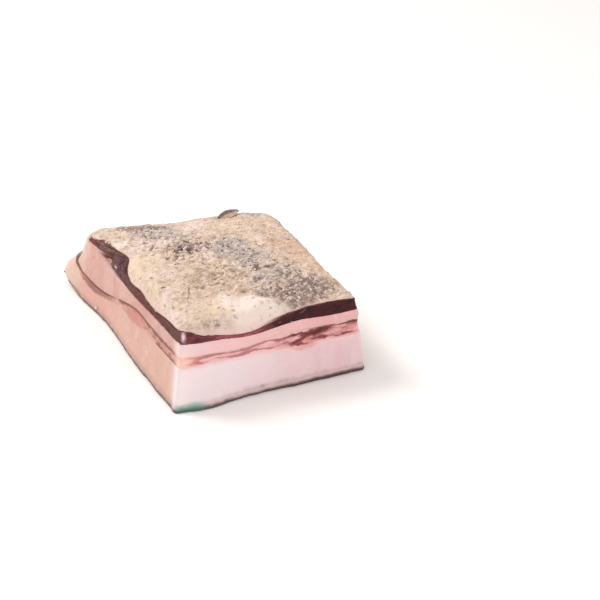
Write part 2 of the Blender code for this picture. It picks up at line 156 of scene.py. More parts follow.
GRAIN_RADIUS = (0.0009, 0.0014)
GRAIN_APART = 0.0065
GRAIN_EDGE = 0.3  # share of the rounded edge that stays free of them
SCRAP_FROM = (0.0822, 0.1457, 0.0497)
SCRAP_TO = (0.1012, 0.1497, 0.0527)
SCRAP_ARCH = 0.0018
SCRAP_WIDTH = 0.0034
SCRAP_THICKNESS = 0.0010
SCRAP_DROOP = 0.0024  # how far its front edge hangs down to the crust
SCRAP_STEPS = 60
SCRAP_SIDES = 32
SCRAP_WAVE_SIZE, SCRAP_WAVE = 0.0035, 0.0005
CHIP_SHARES = ((0.8, 1.2), (0.6, 1.1))  # range of a chip's two broader sizes, as shares of its radius
CHIP_JAGGED = (0.82, 1.12)  # range that its corners stray in, as shares
SEED = 11
LATTICE = 1024  # random values of a noise

# Pits in the crust as (x, y, reach, rise), a crease along an arc, and the fine relief's sizes and heights
PITS = (
    (0.0115, 0.0154, 0.0010, -0.0007), (0.0452, 0.0960, 0.0024, -0.0014),
    (0.0480, 0.0990, 0.0016, -0.0010), (0.0525, 0.1152, 0.0021, -0.0012),
    (0.0437, 0.1123, 0.0013, -0.0008), (0.0286, 0.0911, 0.0016, -0.0010),
    (0.0325, 0.0864, 0.0018, -0.0011), (0.0372, 0.0875, 0.0013, -0.0008),
    (0.0324, 0.1021, 0.0013, -0.0008), (0.0359, 0.0982, 0.0013, -0.0008),
    (0.0400, 0.0976, 0.0014, -0.0008), (0.0246, 0.1126, 0.0020, -0.0012),
    (0.0200, 0.1150, 0.0012, -0.0007), (0.0137, 0.0558, 0.0013, -0.0008),
    (0.0109, 0.0715, 0.0012, -0.0008), (0.0844, 0.0537, 0.0016, -0.0010),
    (0.0773, 0.0552, 0.0013, -0.0008), (0.0706, 0.0612, 0.0015, -0.0009),
    (0.0922, 0.0605, 0.0018, -0.0011), (0.0480, 0.0540, 0.0012, -0.0007),
    (0.0585, 0.0302, 0.0014, -0.0008),
)
SLITS = (  # pits in the steep front edge, as x, y, reach along and across, depth
    (0.0236, 0.0070, 0.0014, 0.00040, 0.0009), (0.0256, 0.0066, 0.0012, 0.00045, 0.0010),
    (0.0275, 0.0080, 0.0010, 0.00040, 0.0007), (0.0310, 0.0064, 0.0009, 0.00040, 0.0008),
    (0.0326, 0.0067, 0.0014, 0.00045, 0.0010), (0.0152, 0.0070, 0.0010, 0.00035, 0.0006),
)
CREASE_CENTRE = (0.038, 0.034)
CREASE_RADIUS = 0.0155
CREASE_WIDTH, CREASE = 0.0011, 0.00050
CREASE_WANDER = 0.0016
WRINKLE_SIZE, WRINKLE = 0.0060, 0.00045
RIDGE_SIZE, RIDGE = 0.0034, 0.00026
LUMP_SIZE, LUMP = 0.0044, 0.00090
PEBBLE_SIZE, PEBBLE = 0.0025, 0.00046
FINE_SIZE, FINE = 0.0013, 0.00008
STRAY_SIZE, STRAY = 0.0050, 0.0015  # how the pebbles' squares are bent, so that no rows show
PEBBLE_LATTICE = 256  # squares after which the pebbles repeat
PEBBLE_HEIGHTS = (0.3, 1.0)
PEBBLE_REACH = 0.6  # radius of a pebble, as a share of its square
PEBBLE_GROUND = 0.3  # share of the tallest pebble's height at which the ground lies
SMOOTHEST = 0.34  # share of the rough relief that is left on the smooth places
CALM = (  # calmer places of the fine relief, as x, y, reach and the share that is taken off
    (0.090, 0.034, 0.022, 0.30), (0.074, 0.072, 0.018, 0.25), (0.034, 0.032, 0.011, 0.35),
    (0.050, 0.024, 0.011, 0.35),
)
CAVITY = 0.00036  # depth under the ground around it at which a hollow's painted shade is darkest
# depth of a pit at which its painted shade is darkest
DARKEST_PIT = 0.0013

# Colour zones of the crust as (x, y, reach, strength)
ZONES = {
    "yellow": (
        (0.007, 0.086, 0.012, 0.90), (0.014, 0.097, 0.009, 0.90), (0.008, 0.058, 0.009, 0.60),
        (0.038, 0.017, 0.012, 1.00), (0.030, 0.048, 0.007, 0.60), (0.054, 0.062, 0.009, 0.60),
        (0.088, 0.132, 0.016, 0.45), (0.010, 0.030, 0.007, 0.40),
    ),
    "white": (
        (0.052, 0.008, 0.012, 1.00), (0.066, 0.006, 0.010, 0.90), (0.044, 0.026, 0.008, 0.55),
        (0.058, 0.018, 0.007, 0.30), (0.010, 0.134, 0.007, 0.80), (0.083, 0.003, 0.008, 0.60),
        (0.011, 0.074, 0.007, 0.60),
    ),
    "pink": (
        (0.036, 0.003, 0.010, 0.80), (0.014, 0.117, 0.010, 0.75), (0.030, 0.124, 0.014, 0.70),
        (0.006, 0.028, 0.009, 0.80), (0.010, 0.046, 0.008, 0.60), (0.054, 0.082, 0.010, 0.55),
        (0.066, 0.146, 0.012, 0.80), (0.024, 0.072, 0.010, 0.50), (0.012, 0.012, 0.010, 0.40),
        (0.094, 0.092, 0.005, 0.80),
    ),
    "tan": (
        (0.110, 0.080, 0.014, 0.90), (0.118, 0.060, 0.014, 0.90), (0.110, 0.112, 0.016, 0.40),
        (0.116, 0.040, 0.012, 0.80),
    ),
    "orange": (
        (0.0965, 0.0880, 0.0022, 1.00), (0.1000, 0.0878, 0.0024, 1.00), (0.1040, 0.0868, 0.0024, 1.10),
        (0.1080, 0.0845, 0.0022, 1.00), (0.1130, 0.0700, 0.0030, 0.60),
    ),
    "ochre": (
        (0.042, 0.058, 0.011, 0.85), (0.062, 0.054, 0.010, 0.80), (0.058, 0.030, 0.006, 0.70),
        (0.014, 0.061, 0.006, 0.45), (0.100, 0.054, 0.010, 0.50), (0.080, 0.112, 0.010, 0.45),
    ),
    "grey": (
        (0.070, 0.092, 0.016, 0.95), (0.080, 0.068, 0.014, 0.80), (0.076, 0.040, 0.012, 0.70),
        (0.034, 0.146, 0.016, 0.90), (0.050, 0.130, 0.012, 0.70), (0.096, 0.044, 0.012, 0.50),
        (0.112, 0.144, 0.007, 0.70),
    ),
    "mauve": (
        (0.049, 0.104, 0.010, 0.88), (0.042, 0.096, 0.007, 0.78), (0.034, 0.096, 0.008, 0.20),
        (0.023, 0.117, 0.004, 0.60), (0.086, 0.017, 0.014, 1.00), (0.105, 0.022, 0.013, 0.90),
        (0.090, 0.042, 0.008, 0.45), (0.071, 0.025, 0.006, 0.75), (0.062, 0.029, 0.005, 0.30),
        # the last four bells lie along the back edge's left part and paint shade there
        (0.076, 0.056, 0.004, 0.80), (0.085, 0.054, 0.004, 0.70), (0.020, 0.163, 0.005, 0.90),
        (0.029, 0.161, 0.006, 1.20), (0.038, 0.159, 0.006, 1.20), (0.047, 0.156, 0.005, 0.90),
    ),
}

# Tone of each zone and the most that it covers
CRUST_TONES = (
    ("yellow", (0.72, 0.548, 0.385), 0.85),
    ("white", (0.83, 0.690, 0.610), 0.90),
    ("pink", (0.74, 0.575, 0.515), 0.90),
    ("tan", (0.63, 0.415, 0.300), 0.90),
    ("orange", (0.55, 0.280, 0.180), 0.70),
    ("ochre", (0.43, 0.300, 0.200), 0.90),
    ("grey", (0.415, 0.342, 0.312), 0.92),
    ("mauve", (0.230, 0.145, 0.128), 0.92),
)
FLESH_RADIUS = (1.0, 0.45, 0.30)  # how far red, green and blue light go in, against each other

# Lean lines of the streak: share of its height, how far it swings where the lines meet, how far it climbs
# to the right, breadth, strength, and (x, y, reach, more strength)
STREAK_LINES = (
    (0.80, -0.12, 0.08, 0.00095, 0.90, (
        (0.004, 0.000, 0.009, -0.90), (-0.003, 0.108, 0.010, -0.25), (-0.014, 0.186, 0.018, -0.30),
    )),
    (0.24, 0.12, -0.12, 0.00100, 0.08, (
        (0.012, 0.000, 0.008, 0.35), (0.045, 0.000, 0.024, 0.85), (0.084, 0.000, 0.016, 0.65),
        (0.112, 0.000, 0.014, 0.60), (0.002, 0.028, 0.016, 0.30),
    )),
    (0.06, 0.00, 0.00, 0.00075, 0.00, (
        (0.003, 0.028, 0.018, 0.90), (0.004, 0.009, 0.007, 0.60),
    )),
    (0.30, 0.00, 0.30, 0.00140, 0.00, (
        (0.085, 0.003, 0.010, 1.10), (0.124, 0.003, 0.010, 0.60),
    )),
    (0.66, 0.00, 0.10, 0.00270, 0.00, (
        (0.0965, 0.003, 0.0095, 1.60), (-0.006, 0.140, 0.022, 0.55), (0.122, 0.003, 0.006, 0.70),
    )),
    (0.30, 0.00, -0.04, 0.00120, 0.00, (
        (0.099, 0.003, 0.007, 1.30), (0.116, 0.003, 0.008, 0.60),
    )),
)
SIDE_BROADER = 0.8  # how much broader, as a share, the lines are on the left side
STREAK_FLUSH = (
    (0.009, 0.000, 0.008, 0.70), (0.045, 0.000, 0.030, 0.75), (0.088, 0.000, 0.020, 1.20),
    (0.115, 0.000, 0.030, 1.10), (0.002, 0.026, 0.020, 0.90), (-0.001, 0.076, 0.020, 1.50),
    (-0.006, 0.140, 0.026, 1.60), (-0.010, 0.172, 0.020, 0.80),
)
BLOTCH = (0.0160, 0.0030, 0.0023, 1.40)
SOLID = ((-0.006, 0.138, 0.024, 1.30), (-0.001, 0.078, 0.015, 1.20))  # where the flush fills the streak
STREAK_WANDER, STREAK_JITTER = 0.09, 0.055
STREAK_THINNEST = 0.0010  # the lines grow no broader, as shares, where the streak is thinner than this
MEET_FIRST, MEET_APART = 0.035, 0.022  # where the front's lines first meet, and how far apart they meet
CLIMB_FROM, CLIMB_TO = 0.070, 0.100
DEEP = ((-0.006, 0.142, 0.026, 1.20), (-0.010, 0.172, 0.022, 0.80))
STAINS = (  # the streak's red reaches this deep into the back fat
    (-0.006, 0.141, 0.025, 0.0044), (0.089, 0.000, 0.010, 0.0026), (-0.001, 0.077, 0.015, 0.0036),
)
BLUSH = 0.0034  # how deep the back fat is pink under the streak, on the front
SMUDGE_SPOTS = ((0.060, 0.0005, 0.0030, 1.0), (0.074, 0.0005, 0.0060, 0.8))  # darker places over the rind
LEAN_END = (-0.010, 0.190, 0.028)  # the dark lean runs out within this reach of the far left corner
LEAN_BITS = (  # x, y, share of the height, reach along and up
    (0.0088, 0.0050, 0.58, 0.0012, 0.40), (-0.0010, 0.1137, 0.36, 0.0013, 0.11),
)
FATTY_FOOT = (-0.007, 0.150, 0.013, 1.5)  # the lower half of the far lean is fat
LEAN_BIT_STRENGTH = 1.2
TIP = (-0.006, 0.153, 0.016, 1.5)  # the far lean is ruddy with pale streaks here
CROWN = (0.003, 0.133, 0.009, 1.2)  # the lean's bared top is taupe here
LEAN_STAIN = 0.00005  # how far in the crust's edge is stained by the lean, and where farther
LEAN_STAINS = (
    (0.004, 0.004, 0.016, 0.00018), (0.100, 0.003, 0.028, 0.00016), (-0.002, 0.144, 0.0115, 0.00360),
)
FAT_STAIN = (-0.001, 0.094, 0.024, 1.2)  # the middle fat's upper edge is stained here
FAR_SIDE = (-0.007, 0.144, 0.028, 1.0)  # the left side's back fat is pinker here, its stains darker
FAR_END = (-0.016, 0.190, 0.020, 1.4)  # the fat is cream and the rind thicker here
MIDDLE_HIGHLIGHT = (0.015, 0.0, 0.011, 1.0)  # painted highlight: the middle fat is paler and cooler here
CORNER_HIGHLIGHT = (0.0, 0.0, 0.0080, 1.0)  # painted highlight down the near corner's edge, pale all the way up
RIND_THICKER_RIGHT, RIND_THICKER_FAR = 0.0008, 0.0030  # how much on the front's right, and at FAR_END
FAR_DENT = (-0.012, 0.186, 0.020, 0.0032)  # the upper layers draw in at the far left corner
FAR_DENT_FROM, FAR_DENT_TO = 0.017, 0.028
LEAN_KNOBS = ((-0.001, 0.111, 0.014, 1.0), (-0.003, 0.140, 0.014, 0.6))
KNOB_SIZE, KNOB = 0.0026, 0.0006
FIBRE_DRAW = (0.45, 0.45, 1.6)  # scale along each axis that draws the lean's fibres out
FIBRE_SIZE, FIBRE = 0.0030, 0.00030
HAIR_SIZE, HAIR = 0.0011, 0.00012
STREAK_RELIEF, LEDGE_RELIEF = 0.6, 1.6  # shares of it on the streak and on the bared upper faces
HOLLOW_SIZE, HOLLOW = 0.0090, 0.00022
FAT_GRAIN_SIZE, FAT_GRAIN = 0.0016, 0.00005
RIND_BUMP_SIZE, RIND_BUMP = 0.0040, 0.00025
SIDE_SPREAD, SIDE_SPREAD_TOP = 0.0016, 0.018  # how far the left side's foot spreads, and up to what height
UNCUT_FROM_TO = (0.150, 0.180)  # the uncut back's relief: where it sets in, its size and its height
UNCUT_SIZE, UNCUT = 0.0062, 0.00042
SIDE_CRUMBS = (  # x, y, z and radius
    (-0.0090, 0.1388, 0.0040, 0.0016), (-0.0052, 0.1270, 0.0150, 0.0006),
    (-0.0030, 0.1120, 0.0165, 0.0006),
)
DARK_SPECK = (-0.0172, 0.1878, 0.0095, 0.0009)

# How closely the skins are laid
COLUMNS = 900
FOOT_ROWS = 9
FAT_ROWS = 34
STREAK_ROWS = 16
BAND_ROWS = 24
LEAN_ROWS = 18
CRUST_SPACING = 0.00056
CRUST_EDGE_LINES = 20
INNER_RINGS = (0.97, 0.85, 0.6, 0.3)  # hidden faces, as shares of the outline
LEAN_LEDGE = 0.013  # how far in the bared lean is laid closely
LEDGE_RINGS = 18
BAND_LEDGE_RINGS = 5  # the middle fat's, over half that distance
SINK = 0.0002  # the crust's foot lies this deep in the lean

# Photograph: a 100 mm lens on a 36 mm sensor looks at this ground point, in the corner's frame
LENS = 100.0
SENSOR = 36.0
AZIMUTH = math.radians(-22.977)
ELEVATION = math.radians(30.0)
DISTANCE = 1.16667
LOOKED_AT = (0.12725, 0.10043)

# Floor, and the lamps as name, place, size and power
FLOOR = 8.0
SURROUNDINGS = 0.72
LAMPS = (("high lamp", (-0.6, 0.65, 1.15), 0.6, 13.0), ("front lamp", (0.5, -1.3, 0.8), 0.8, 6.0))


def ease(start, end, value):
    """0 up to start, 1 from end on, and a smooth S between them."""
    share = np.clip((value - start) / (end - start), 0.0, 1.0)
    return share * share * (3.0 - 2.0 * share)


def fade(start, end, value):
    """1 up to start, 0 from end on, and a smooth S between them."""
    return 1.0 - ease(start, end, value)


def bell(away, width):
    """1 at no distance, falling off to both sides as a bell of that width."""
    return np.exp(-((away / width) ** 2))


def swell(x, y, bumps):
    """Sum of the round swells and dips at (x, y), each a bell of its reach and rise."""
    total = np.zeros(np.shape(x))
    for centre_x, centre_y, reach, rise in bumps:
        total += rise * np.exp(-((x - centre_x) ** 2 + (y - centre_y) ** 2) / reach**2)
    return total


def zone(x, y, *bumps):
    """Sum of the bells at (x, y), held between 0 and 1."""
    return np.clip(swell(x, y, bumps), 0.0, 1.0)


def waves(x, y, lengths, number):
    """Uneven relief of about -1 to 1: plane waves of random way, phase and length."""
    draw = np.random.default_rng(SEED + number)
    total = np.zeros(np.shape(x))
    for _ in range(WAVES):
        length = draw.uniform(*lengths)
        way = draw.uniform(0.0, math.tau)
        phase = draw.uniform(0.0, math.tau)
        total += np.sin((x * math.cos(way) + y * math.sin(way)) * math.tau / length + phase)
    return total / math.sqrt(WAVES)


def lattice_noise(points, size, number):
    """Soft field of about -1 to 1: random values on a lattice of that size, blended by a smooth S."""
    draw = np.random.default_rng(SEED + number)
    order = draw.permutation(LATTICE)
    values = draw.uniform(-1.0, 1.0, LATTICE)
    scaled = points / size
    cell = np.floor(scaled).astype(int)
    share = scaled - cell
    share = share * share * (3.0 - 2.0 * share)
    total = np.zeros(points.shape[:-1])
    for corner in itertools.product((0, 1), repeat=points.shape[-1]):
        key = np.zeros(points.shape[:-1], int)
        weight = np.ones(points.shape[:-1])
        for axis, step in enumerate(corner):
            key = order[(key + cell[..., axis] + step) % LATTICE]
            weight = weight * (share[..., axis] if step else 1.0 - share[..., axis])
        total += values[key] * weight
    return total


def clouds(points, size, number, octaves=3):
    """Lattice noise with half-size, half-height copies of it added on."""
    total = np.zeros(points.shape[:-1])
    for octave in range(octaves):
        total += lattice_noise(points, size / 2**octave, number + octave) / 2**octave
    return total


def pebbles(plan, size, number):
    """Bumps of 0 to 1: one strayed centre in each square of that size, and a dome around the nearest."""
    draw = np.random.default_rng(SEED + number)
    stray = draw.uniform(0.0, 1.0, (PEBBLE_LATTICE, PEBBLE_LATTICE, 2))
    height = draw.uniform(*PEBBLE_HEIGHTS, (PEBBLE_LATTICE, PEBBLE_LATTICE))
    place = plan / size
    cell = np.floor(place).astype(int)
    best = np.full(plan.shape[:-1], np.inf)
    found = np.zeros(plan.shape[:-1])
    for step in itertools.product((-1, 0, 1), repeat=2):
        near = cell + np.array(step)
        key = (near[..., 0] % PEBBLE_LATTICE, near[..., 1] % PEBBLE_LATTICE)
        distance = np.linalg.norm(near + stray[key] - place, axis=-1)
        closer = distance < best
        best = np.where(closer, distance, best)
        found = np.where(closer, height[key], found)
    return found * np.clip(1.0 - (best / PEBBLE_REACH) ** 2, 0.0, 1.0)


def block(x, y, z):
    """Place, at height z, of the rectangle's point (x, y): straight between leaning edges."""
    front = LEAN_FRONT * z
    across = x / WIDTH
    rounding = BACK_ROUND[0] + across * (BACK_ROUND[1] - BACK_ROUND[0])
    back = DEPTH - across * BACK_TURN - rounding * (z / BACK_ROUND_Z) ** 2
    deep = front + y / DEPTH * (back - front)
    bow = LEFT_BOW * bell(deep - LEFT_BOW_Y, LEFT_BOW_REACH) * fade(0.0, LEFT_BOW_TOP, z)
    left = LEAN_LEFT * z - SPLAY_LEFT * deep + bow
    right = WIDTH - LEAN_RIGHT * z + SPLAY_RIGHT * deep
    return left + across * (right - left), deep


def layer_height(x, y, near, fall_right, fall_back, fall_from, fall_to, swells):
    """Height of a layer's upper edge over (x, y): its height at the near corner, two falls and its swells."""
    return near - fall_right * x / WIDTH - fall_back * ease(fall_from, fall_to, y) + swell(x, y, swells)


def ground(x, y):
    """Height of the floor."""
    return np.zeros(np.shape(x))


def fat_back_top(x, y):
    """Height of the back fat's upper edge."""
    return layer_height(x, y, **FAT_BACK_TOP)


def streak_top(x, y):
    """Height of the lean streak's upper edge."""
    return layer_height(x, y, **STREAK_TOP)


def fat_middle_top(x, y):
    """Height of the middle fat's upper edge."""
    return layer_height(x, y, **FAT_MIDDLE_TOP)


def lean_top(x, y):
    """Height of the dark lean's upper edge: its thickness and its swells on the middle fat."""
    return fat_middle_top(x, y) + LEAN_THICKNESS + swell(x, y, LEAN_SWELLS)


def roughness_of(x, y):
    """How rough the crust is: a share everywhere and its zones, held between 0 and the most."""
    return np.clip(ROUGH_EVERYWHERE + swell(x, y, ROUGH_ZONES), 0.0, ROUGH_MOST)


def crust_top(x, y):
    """The crest with its falls and swells, its folds and its roughness, never thinner than CRUST_LEAST."""
    height = CREST - CREST_FALL_FRONT * np.exp(-y / CREST_FRONT_REACH)
    height = height - CREST_FALL_BACK * ease(CREST_BACK_FROM, CREST_BACK_TO, y)
    height = height - CREST_FALL_RIGHT * ease(CREST_RIGHT_FROM, CREST_RIGHT_TO, x)
    height = height + swell(x, y, CRUST_SWELLS) + FOLDS * waves(x, y, FOLD_LENGTHS, 0)
    height = height + ROUGH * roughness_of(x, y) * waves(x, y, ROUGH_LENGTHS, 1)
    return np.maximum(height, lean_top(x, y) + CRUST_LEAST)


def shrink(flat, inset):
    """Flat points drawn in by inset towards the middle, or pushed out where inset is negative."""
    return flat - (flat - MIDDLE) / MIDDLE * np.expand_dims(inset, -1)


def uneven_cut(flat):
    """Flat points with the slow waves of the knife cuts."""
    return shrink(flat, CUT_WAVE * waves(flat[..., 0], flat[..., 1], CUT_WAVE_LENGTHS, 2))


def outline(count):
    """The rectangle with rounded corners, as count evenly spaced points from the near left corner on."""
    corners = []
    inward = ((1, 1), (-1, 1), (-1, -1), (1, -1))
    for number, (radius, (side_x, side_y)) in enumerate(zip(CORNER_RADII, inward)):
        angles = math.pi * (1.0 + number / 2.0) + np.linspace(0.0, math.pi / 2.0, CORNER_POINTS)
        centre = (side_x * radius % WIDTH, side_y * radius % DEPTH)
        corners.append(np.column_stack([np.cos(angles), np.sin(angles)]) * radius + centre)
    corners.append(corners[0][:1])
    line = np.concatenate(corners)
    along = np.concatenate([[0.0], np.cumsum(np.linalg.norm(np.diff(line, axis=0), axis=1))])
    wanted = np.arange(count) / count * along[-1]
    return uneven_cut(np.column_stack([np.interp(wanted, along, line[:, axis]) for axis in range(2)]))


def raised(flat, z):
    """Flat points at the heights z."""
    z = np.broadcast_to(z, flat.shape[:-1])
    x, y = block(flat[..., 0], flat[..., 1], z)
    return np.stack([x, y, z], axis=-1)


def laid(flat, height):
    """Flat points laid on the surface height(x, y), which is read where the leaning block puts them."""
    points = raised(flat, BACK_ROUND_Z)
    for _ in range(LAYING_ROUNDS):
        points = raised(flat, height(points[..., 0], points[..., 1]))
    return points


def bare_width(flat):
    """How far the crust's edge lies in from the slab's own near each of the flat points."""
    place = raised(flat, BACK_ROUND_Z)
    return EDGE_BARE + swell(place[..., 0], place[..., 1], BARE_SWELLS)


def foot_push(place):
    """How far the back fat stands out: the flare of its far left corner and the lip of its rind."""
    x, y, z = np.moveaxis(place, -1, 0)
    flare = swell(x, y, ((*FLARE_AT, FLARE_REACH, FLARE),))
    lip = swell(x, y, ((*LIP_AT, LIP_REACH, LIP),))
    fall = np.clip(1.0 - z / LIP_HEIGHT, 0.0, 1.0)
    return flare * np.sin(math.pi * z / fat_back_top(x, y)) + lip * fall**2


def corner_place():
    """Where the near bottom corner lies in the frame: the back fat's box against the foot's laid out here."""
    low, high = (np.array(corner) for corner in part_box("fat_back"))
    ring = outline(COLUMNS)
    rings = []
    for z in np.linspace(FOOT_RISE, FLARE_TOP, FLARE_ROWS):
        rings.append(raised(shrink(ring, -foot_push(raised(ring, z))), z))
    points = np.concatenate(rings)
    corner = (low + high - points.min(axis=0) - points.max(axis=0)) / 2.0
    return np.array([corner[0], corner[1], 0.0])


CORNER = corner_place()


def mesh_object(name, points, faces, made, marks=None, sharp=45.0):
    """An object at the origin, of points in the corner's frame, with one value per point for each mark."""
    mesh = bpy.data.meshes.new(name)
    mesh.from_pydata((points + CORNER).tolist(), [], faces)
    mesh.shade_smooth()
    mesh.set_sharp_from_angle(angle=math.radians(sharp))
    for title, values in (marks or {}).items():
        layer = mesh.attributes.new(title, "FLOAT", "POINT")
        layer.data.foreach_set("value", np.ascontiguousarray(values, dtype=np.float32).ravel())
    mesh.materials.append(made)
    thing = bpy.data.objects.new(name, mesh)
    bpy.context.scene.collection.objects.link(thing)
    return thing


def dress(thing, slot, *nodes):
    """Rides the piece on the slab in place of the nodes. The slot is not used."""
    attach(thing, "root")
    if nodes:
        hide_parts(*nodes)


def tube_faces(rows, columns):
    """Quads between closed rings, and a fan from each end ring to its pole, the two poles coming last."""
    row, here = np.meshgrid(np.arange(rows - 1), np.arange(columns), indexing="ij")
    there = (here + 1) % columns
    quads = np.stack([here, there, there + columns, here + columns], axis=-1) + (row * columns)[..., None]
    here, there = here[0], there[0]
    last = (rows - 1) * columns
    pole = np.full(columns, rows * columns)
    start = np.column_stack([pole, there, here])
    end = np.column_stack([last + here, last + there, pole + 1])
    return quads.reshape(-1, 4).tolist() + start.tolist() + end.tolist()


def side_marks(flat):
    """Shares of 0 to 1 for each flat point: on the front cut, on the uncut back, at the near corner, which
    gets a painted highlight, and along the front cut to the right, which is painted darker, partly as painted
    shade."""
    x, y = flat[..., 0], flat[..., 1]
    return {
        "front": fade(0.0005, 0.0075, y),
        "back": ease(DEPTH - 0.036, DEPTH - 0.008, y),
        "corner": swell(x, y, (CORNER_HIGHLIGHT,)),
        # darker and pinker to the right: partly painted shade, partly pinker fat
        "along": ease(0.02, 0.12, x),
    }


def layer_skin(name, ring, low, high, share, out, made, marks, ledge=()):
    """A closed layer: hidden rings out from the middle of its under face, a wall of rows at the given shares
    of its height and pushed out by out(place, share), and rings back in over its upper face, first at the
    ledge's distances, where it may be bared."""
    foot, brow = laid(ring, low)[..., 2], laid(ring, high)[..., 2]
    wall, wall_z = [], []
    for part in share:
        z = foot + part * (brow - foot)
        wall.append(shrink(ring, -out(raised(ring, z), part)))
        wall_z.append(z)
    under = [MIDDLE + (wall[0] - MIDDLE) * scale for scale in INNER_RINGS[::-1]]
    over = [shrink(wall[-1], inset) for inset in ledge]
    last = (wall + over)[-1]
    over += [MIDDLE + (last - MIDDLE) * scale for scale in INNER_RINGS]
    rows = [laid(flat, low) for flat in under]
    rows += [raised(flat, z) for flat, z in zip(wall, wall_z)]
    rows = np.stack(rows + [laid(flat, high) for flat in over])
    shares = np.concatenate([np.zeros(len(under)), share, np.ones(len(over))])
    shares = np.repeat(shares[:, None], len(ring), axis=1)
    if len(ledge):
        rows[..., 2] += LEDGE_RELIEF * lean_relief(rows) * ease(0.999, 1.0, shares)
    poles = np.stack([laid(MIDDLE, low), laid(MIDDLE, high)])
    points = np.concatenate([rows.reshape(-1, 3), poles])
    marks = {"share": shares, **side_marks(np.stack(under + wall + over)), **marks(rows, shares)}
    marks = {title: np.append(values.ravel(), (0.0, 0.0)) for title, values in marks.items()}
    return mesh_object(name, points, tube_faces(len(rows), len(ring)), made, marks)


def fat_relief(place):
    """Low hollows and a faint grain on cut fat, and more uneven ones on the uncut back."""
    uncut = UNCUT * ease(*UNCUT_FROM_TO, place[..., 1]) * clouds(place, UNCUT_SIZE, 28)
    return HOLLOW * clouds(place, HOLLOW_SIZE, 20) + FAT_GRAIN * clouds(place, FAT_GRAIN_SIZE, 24, 2) + uncut


def lean_relief(place):
    """Fibres and wrinkles of dried lean: noise drawn out along the layer, and knobs at the side's lumps."""
    drawn = place * FIBRE_DRAW
    fibres = FIBRE * clouds(drawn, FIBRE_SIZE, 30) + HAIR * clouds(drawn, HAIR_SIZE, 34, 2)
    return fibres + KNOB * zone(place[..., 0], place[..., 1], *LEAN_KNOBS) * clouds(place, KNOB_SIZE, 36, 2)


def foot_profile(z):
    """How far the foot stands out at height z: a quarter round, the proud rind, and a soft groove above."""
    low = np.clip(1.0 - z / FOOT_RISE, 0.0, 1.0)
    rounding = FOOT_ROUND * (1.0 - np.sqrt(1.0 - low**2))
    groove = 0.5 * (RIND_GROOVE + RIND_PROUD) * bell(z - GROOVE_Z, GROOVE_WIDTH)
    return RIND_PROUD * fade(RIND, GROOVE_Z, z) - rounding - groove


def fat_back_out(place, share):
    """Push of the back fat's wall: foot, bulge, flare, lip and low relief, uneven along the rind."""
    x, y, z = np.moveaxis(place, -1, 0)
    bulge = FAT_BULGE * np.sin(math.pi * ease(GROOVE_Z, BULGE_TOP, z) / 2.0) * (1.0 - share)
    rind = RIND_BUMP * clouds(place, RIND_BUMP_SIZE, 26) * fade(RIND, GROOVE_Z, z)
    spread = SIDE_SPREAD * ease(0.004, 0.034, y) * fade(0.150, 0.182, y)
    spread = spread * fade(0.010, 0.030, x) * fade(0.001, SIDE_SPREAD_TOP, z)
    return foot_profile(z) + bulge + foot_push(place) + fat_relief(place) + rind + spread


def far_dent(place):
    """How far the wall draws in at the far left corner, from a height on."""
    return swell(place[..., 0], place[..., 1], (FAR_DENT,)) * ease(FAR_DENT_FROM, FAR_DENT_TO, place[..., 2])


def fat_middle_out(place, share):
    """Push of the middle fat's wall: a slight bulge and low relief."""
    return FAT_BULGE * math.sin(math.pi * share) + fat_relief(place) - far_dent(place)


def streak_out(place, share):
    """Push of the streak's wall: it shrinks back a little."""
    return STREAK_RELIEF * lean_relief(place) - LEAN_SHRINK * math.sin(math.pi * share)


def lean_out(place, share):
    """Push of the dark lean's wall: it shrinks back, and its upper edge is rounded off."""
    brow = np.clip((share - BROW_FROM) / (1.0 - BROW_FROM), 0.0, 1.0)
    shrunk = LEAN_SHRINK * math.sin(math.pi * share) + BROW_ROUND * (1.0 - np.sqrt(1.0 - brow**2))
    return lean_relief(place) - shrunk - far_dent(place)


def streak_marks(rows, shares):
    """The lean of the streak: lines at shares of its height, each a bell that wanders, swells and breaks, and
    a softer flush around them. On the front the upper and lower line swing together at even distances."""
    x, y = rows[..., 0], rows[..., 1]
    plan = rows[..., :2]
    thick = np.maximum(streak_top(x, y) - fat_back_top(x, y), STREAK_THINNEST)
    meeting = 0.5 + 0.5 * np.cos(math.tau * (x + y - MEET_FIRST) / MEET_APART)
    meeting = meeting * ease(0.010, 0.026, x) * (0.8 + 0.4 * clouds(plan, 0.016, 38, 2))
    climb = ease(CLIMB_FROM, CLIMB_TO, x)
    lean = np.zeros(shares.shape)
    for line, (centre, swing, rise, breadth, strength, places) in enumerate(STREAK_LINES):
        number = 40 + 10 * line
        wander = STREAK_WANDER * clouds(plan, 0.010, number, 2)
        wander = wander + STREAK_JITTER * clouds(rows, 0.0032, number + 8, 2)
        middle = centre + swing * meeting + rise * climb + wander
        broader = 1.0 + SIDE_BROADER * ease(0.004, 0.014, y) + 0.45 * clouds(plan, 0.006, number + 3, 2)
        power = np.clip(strength + swell(x, y, places) + 0.30 * clouds(plan, 0.009, number + 6, 2), 0.0, 1.0)
        lean = np.maximum(lean, power * bell(shares - middle, breadth / thick * broader))
    return {
        "lean": lean,
        "flush": zone(x, y, *STREAK_FLUSH) * bell(shares - 0.48, 0.50),
        "solid": zone(x, y, *SOLID),
        "rich": ease(0.066, 0.086, x),
        "deep": zone(x, y, *DEEP),
        "blotch": zone(x, y, BLOTCH) * bell(shares - 0.45, 0.36),
        "orange": fade(0.014, 0.024, x),
        "brown": ease(0.062, 0.090, x) * ease(0.45, 0.75, shares),
    }


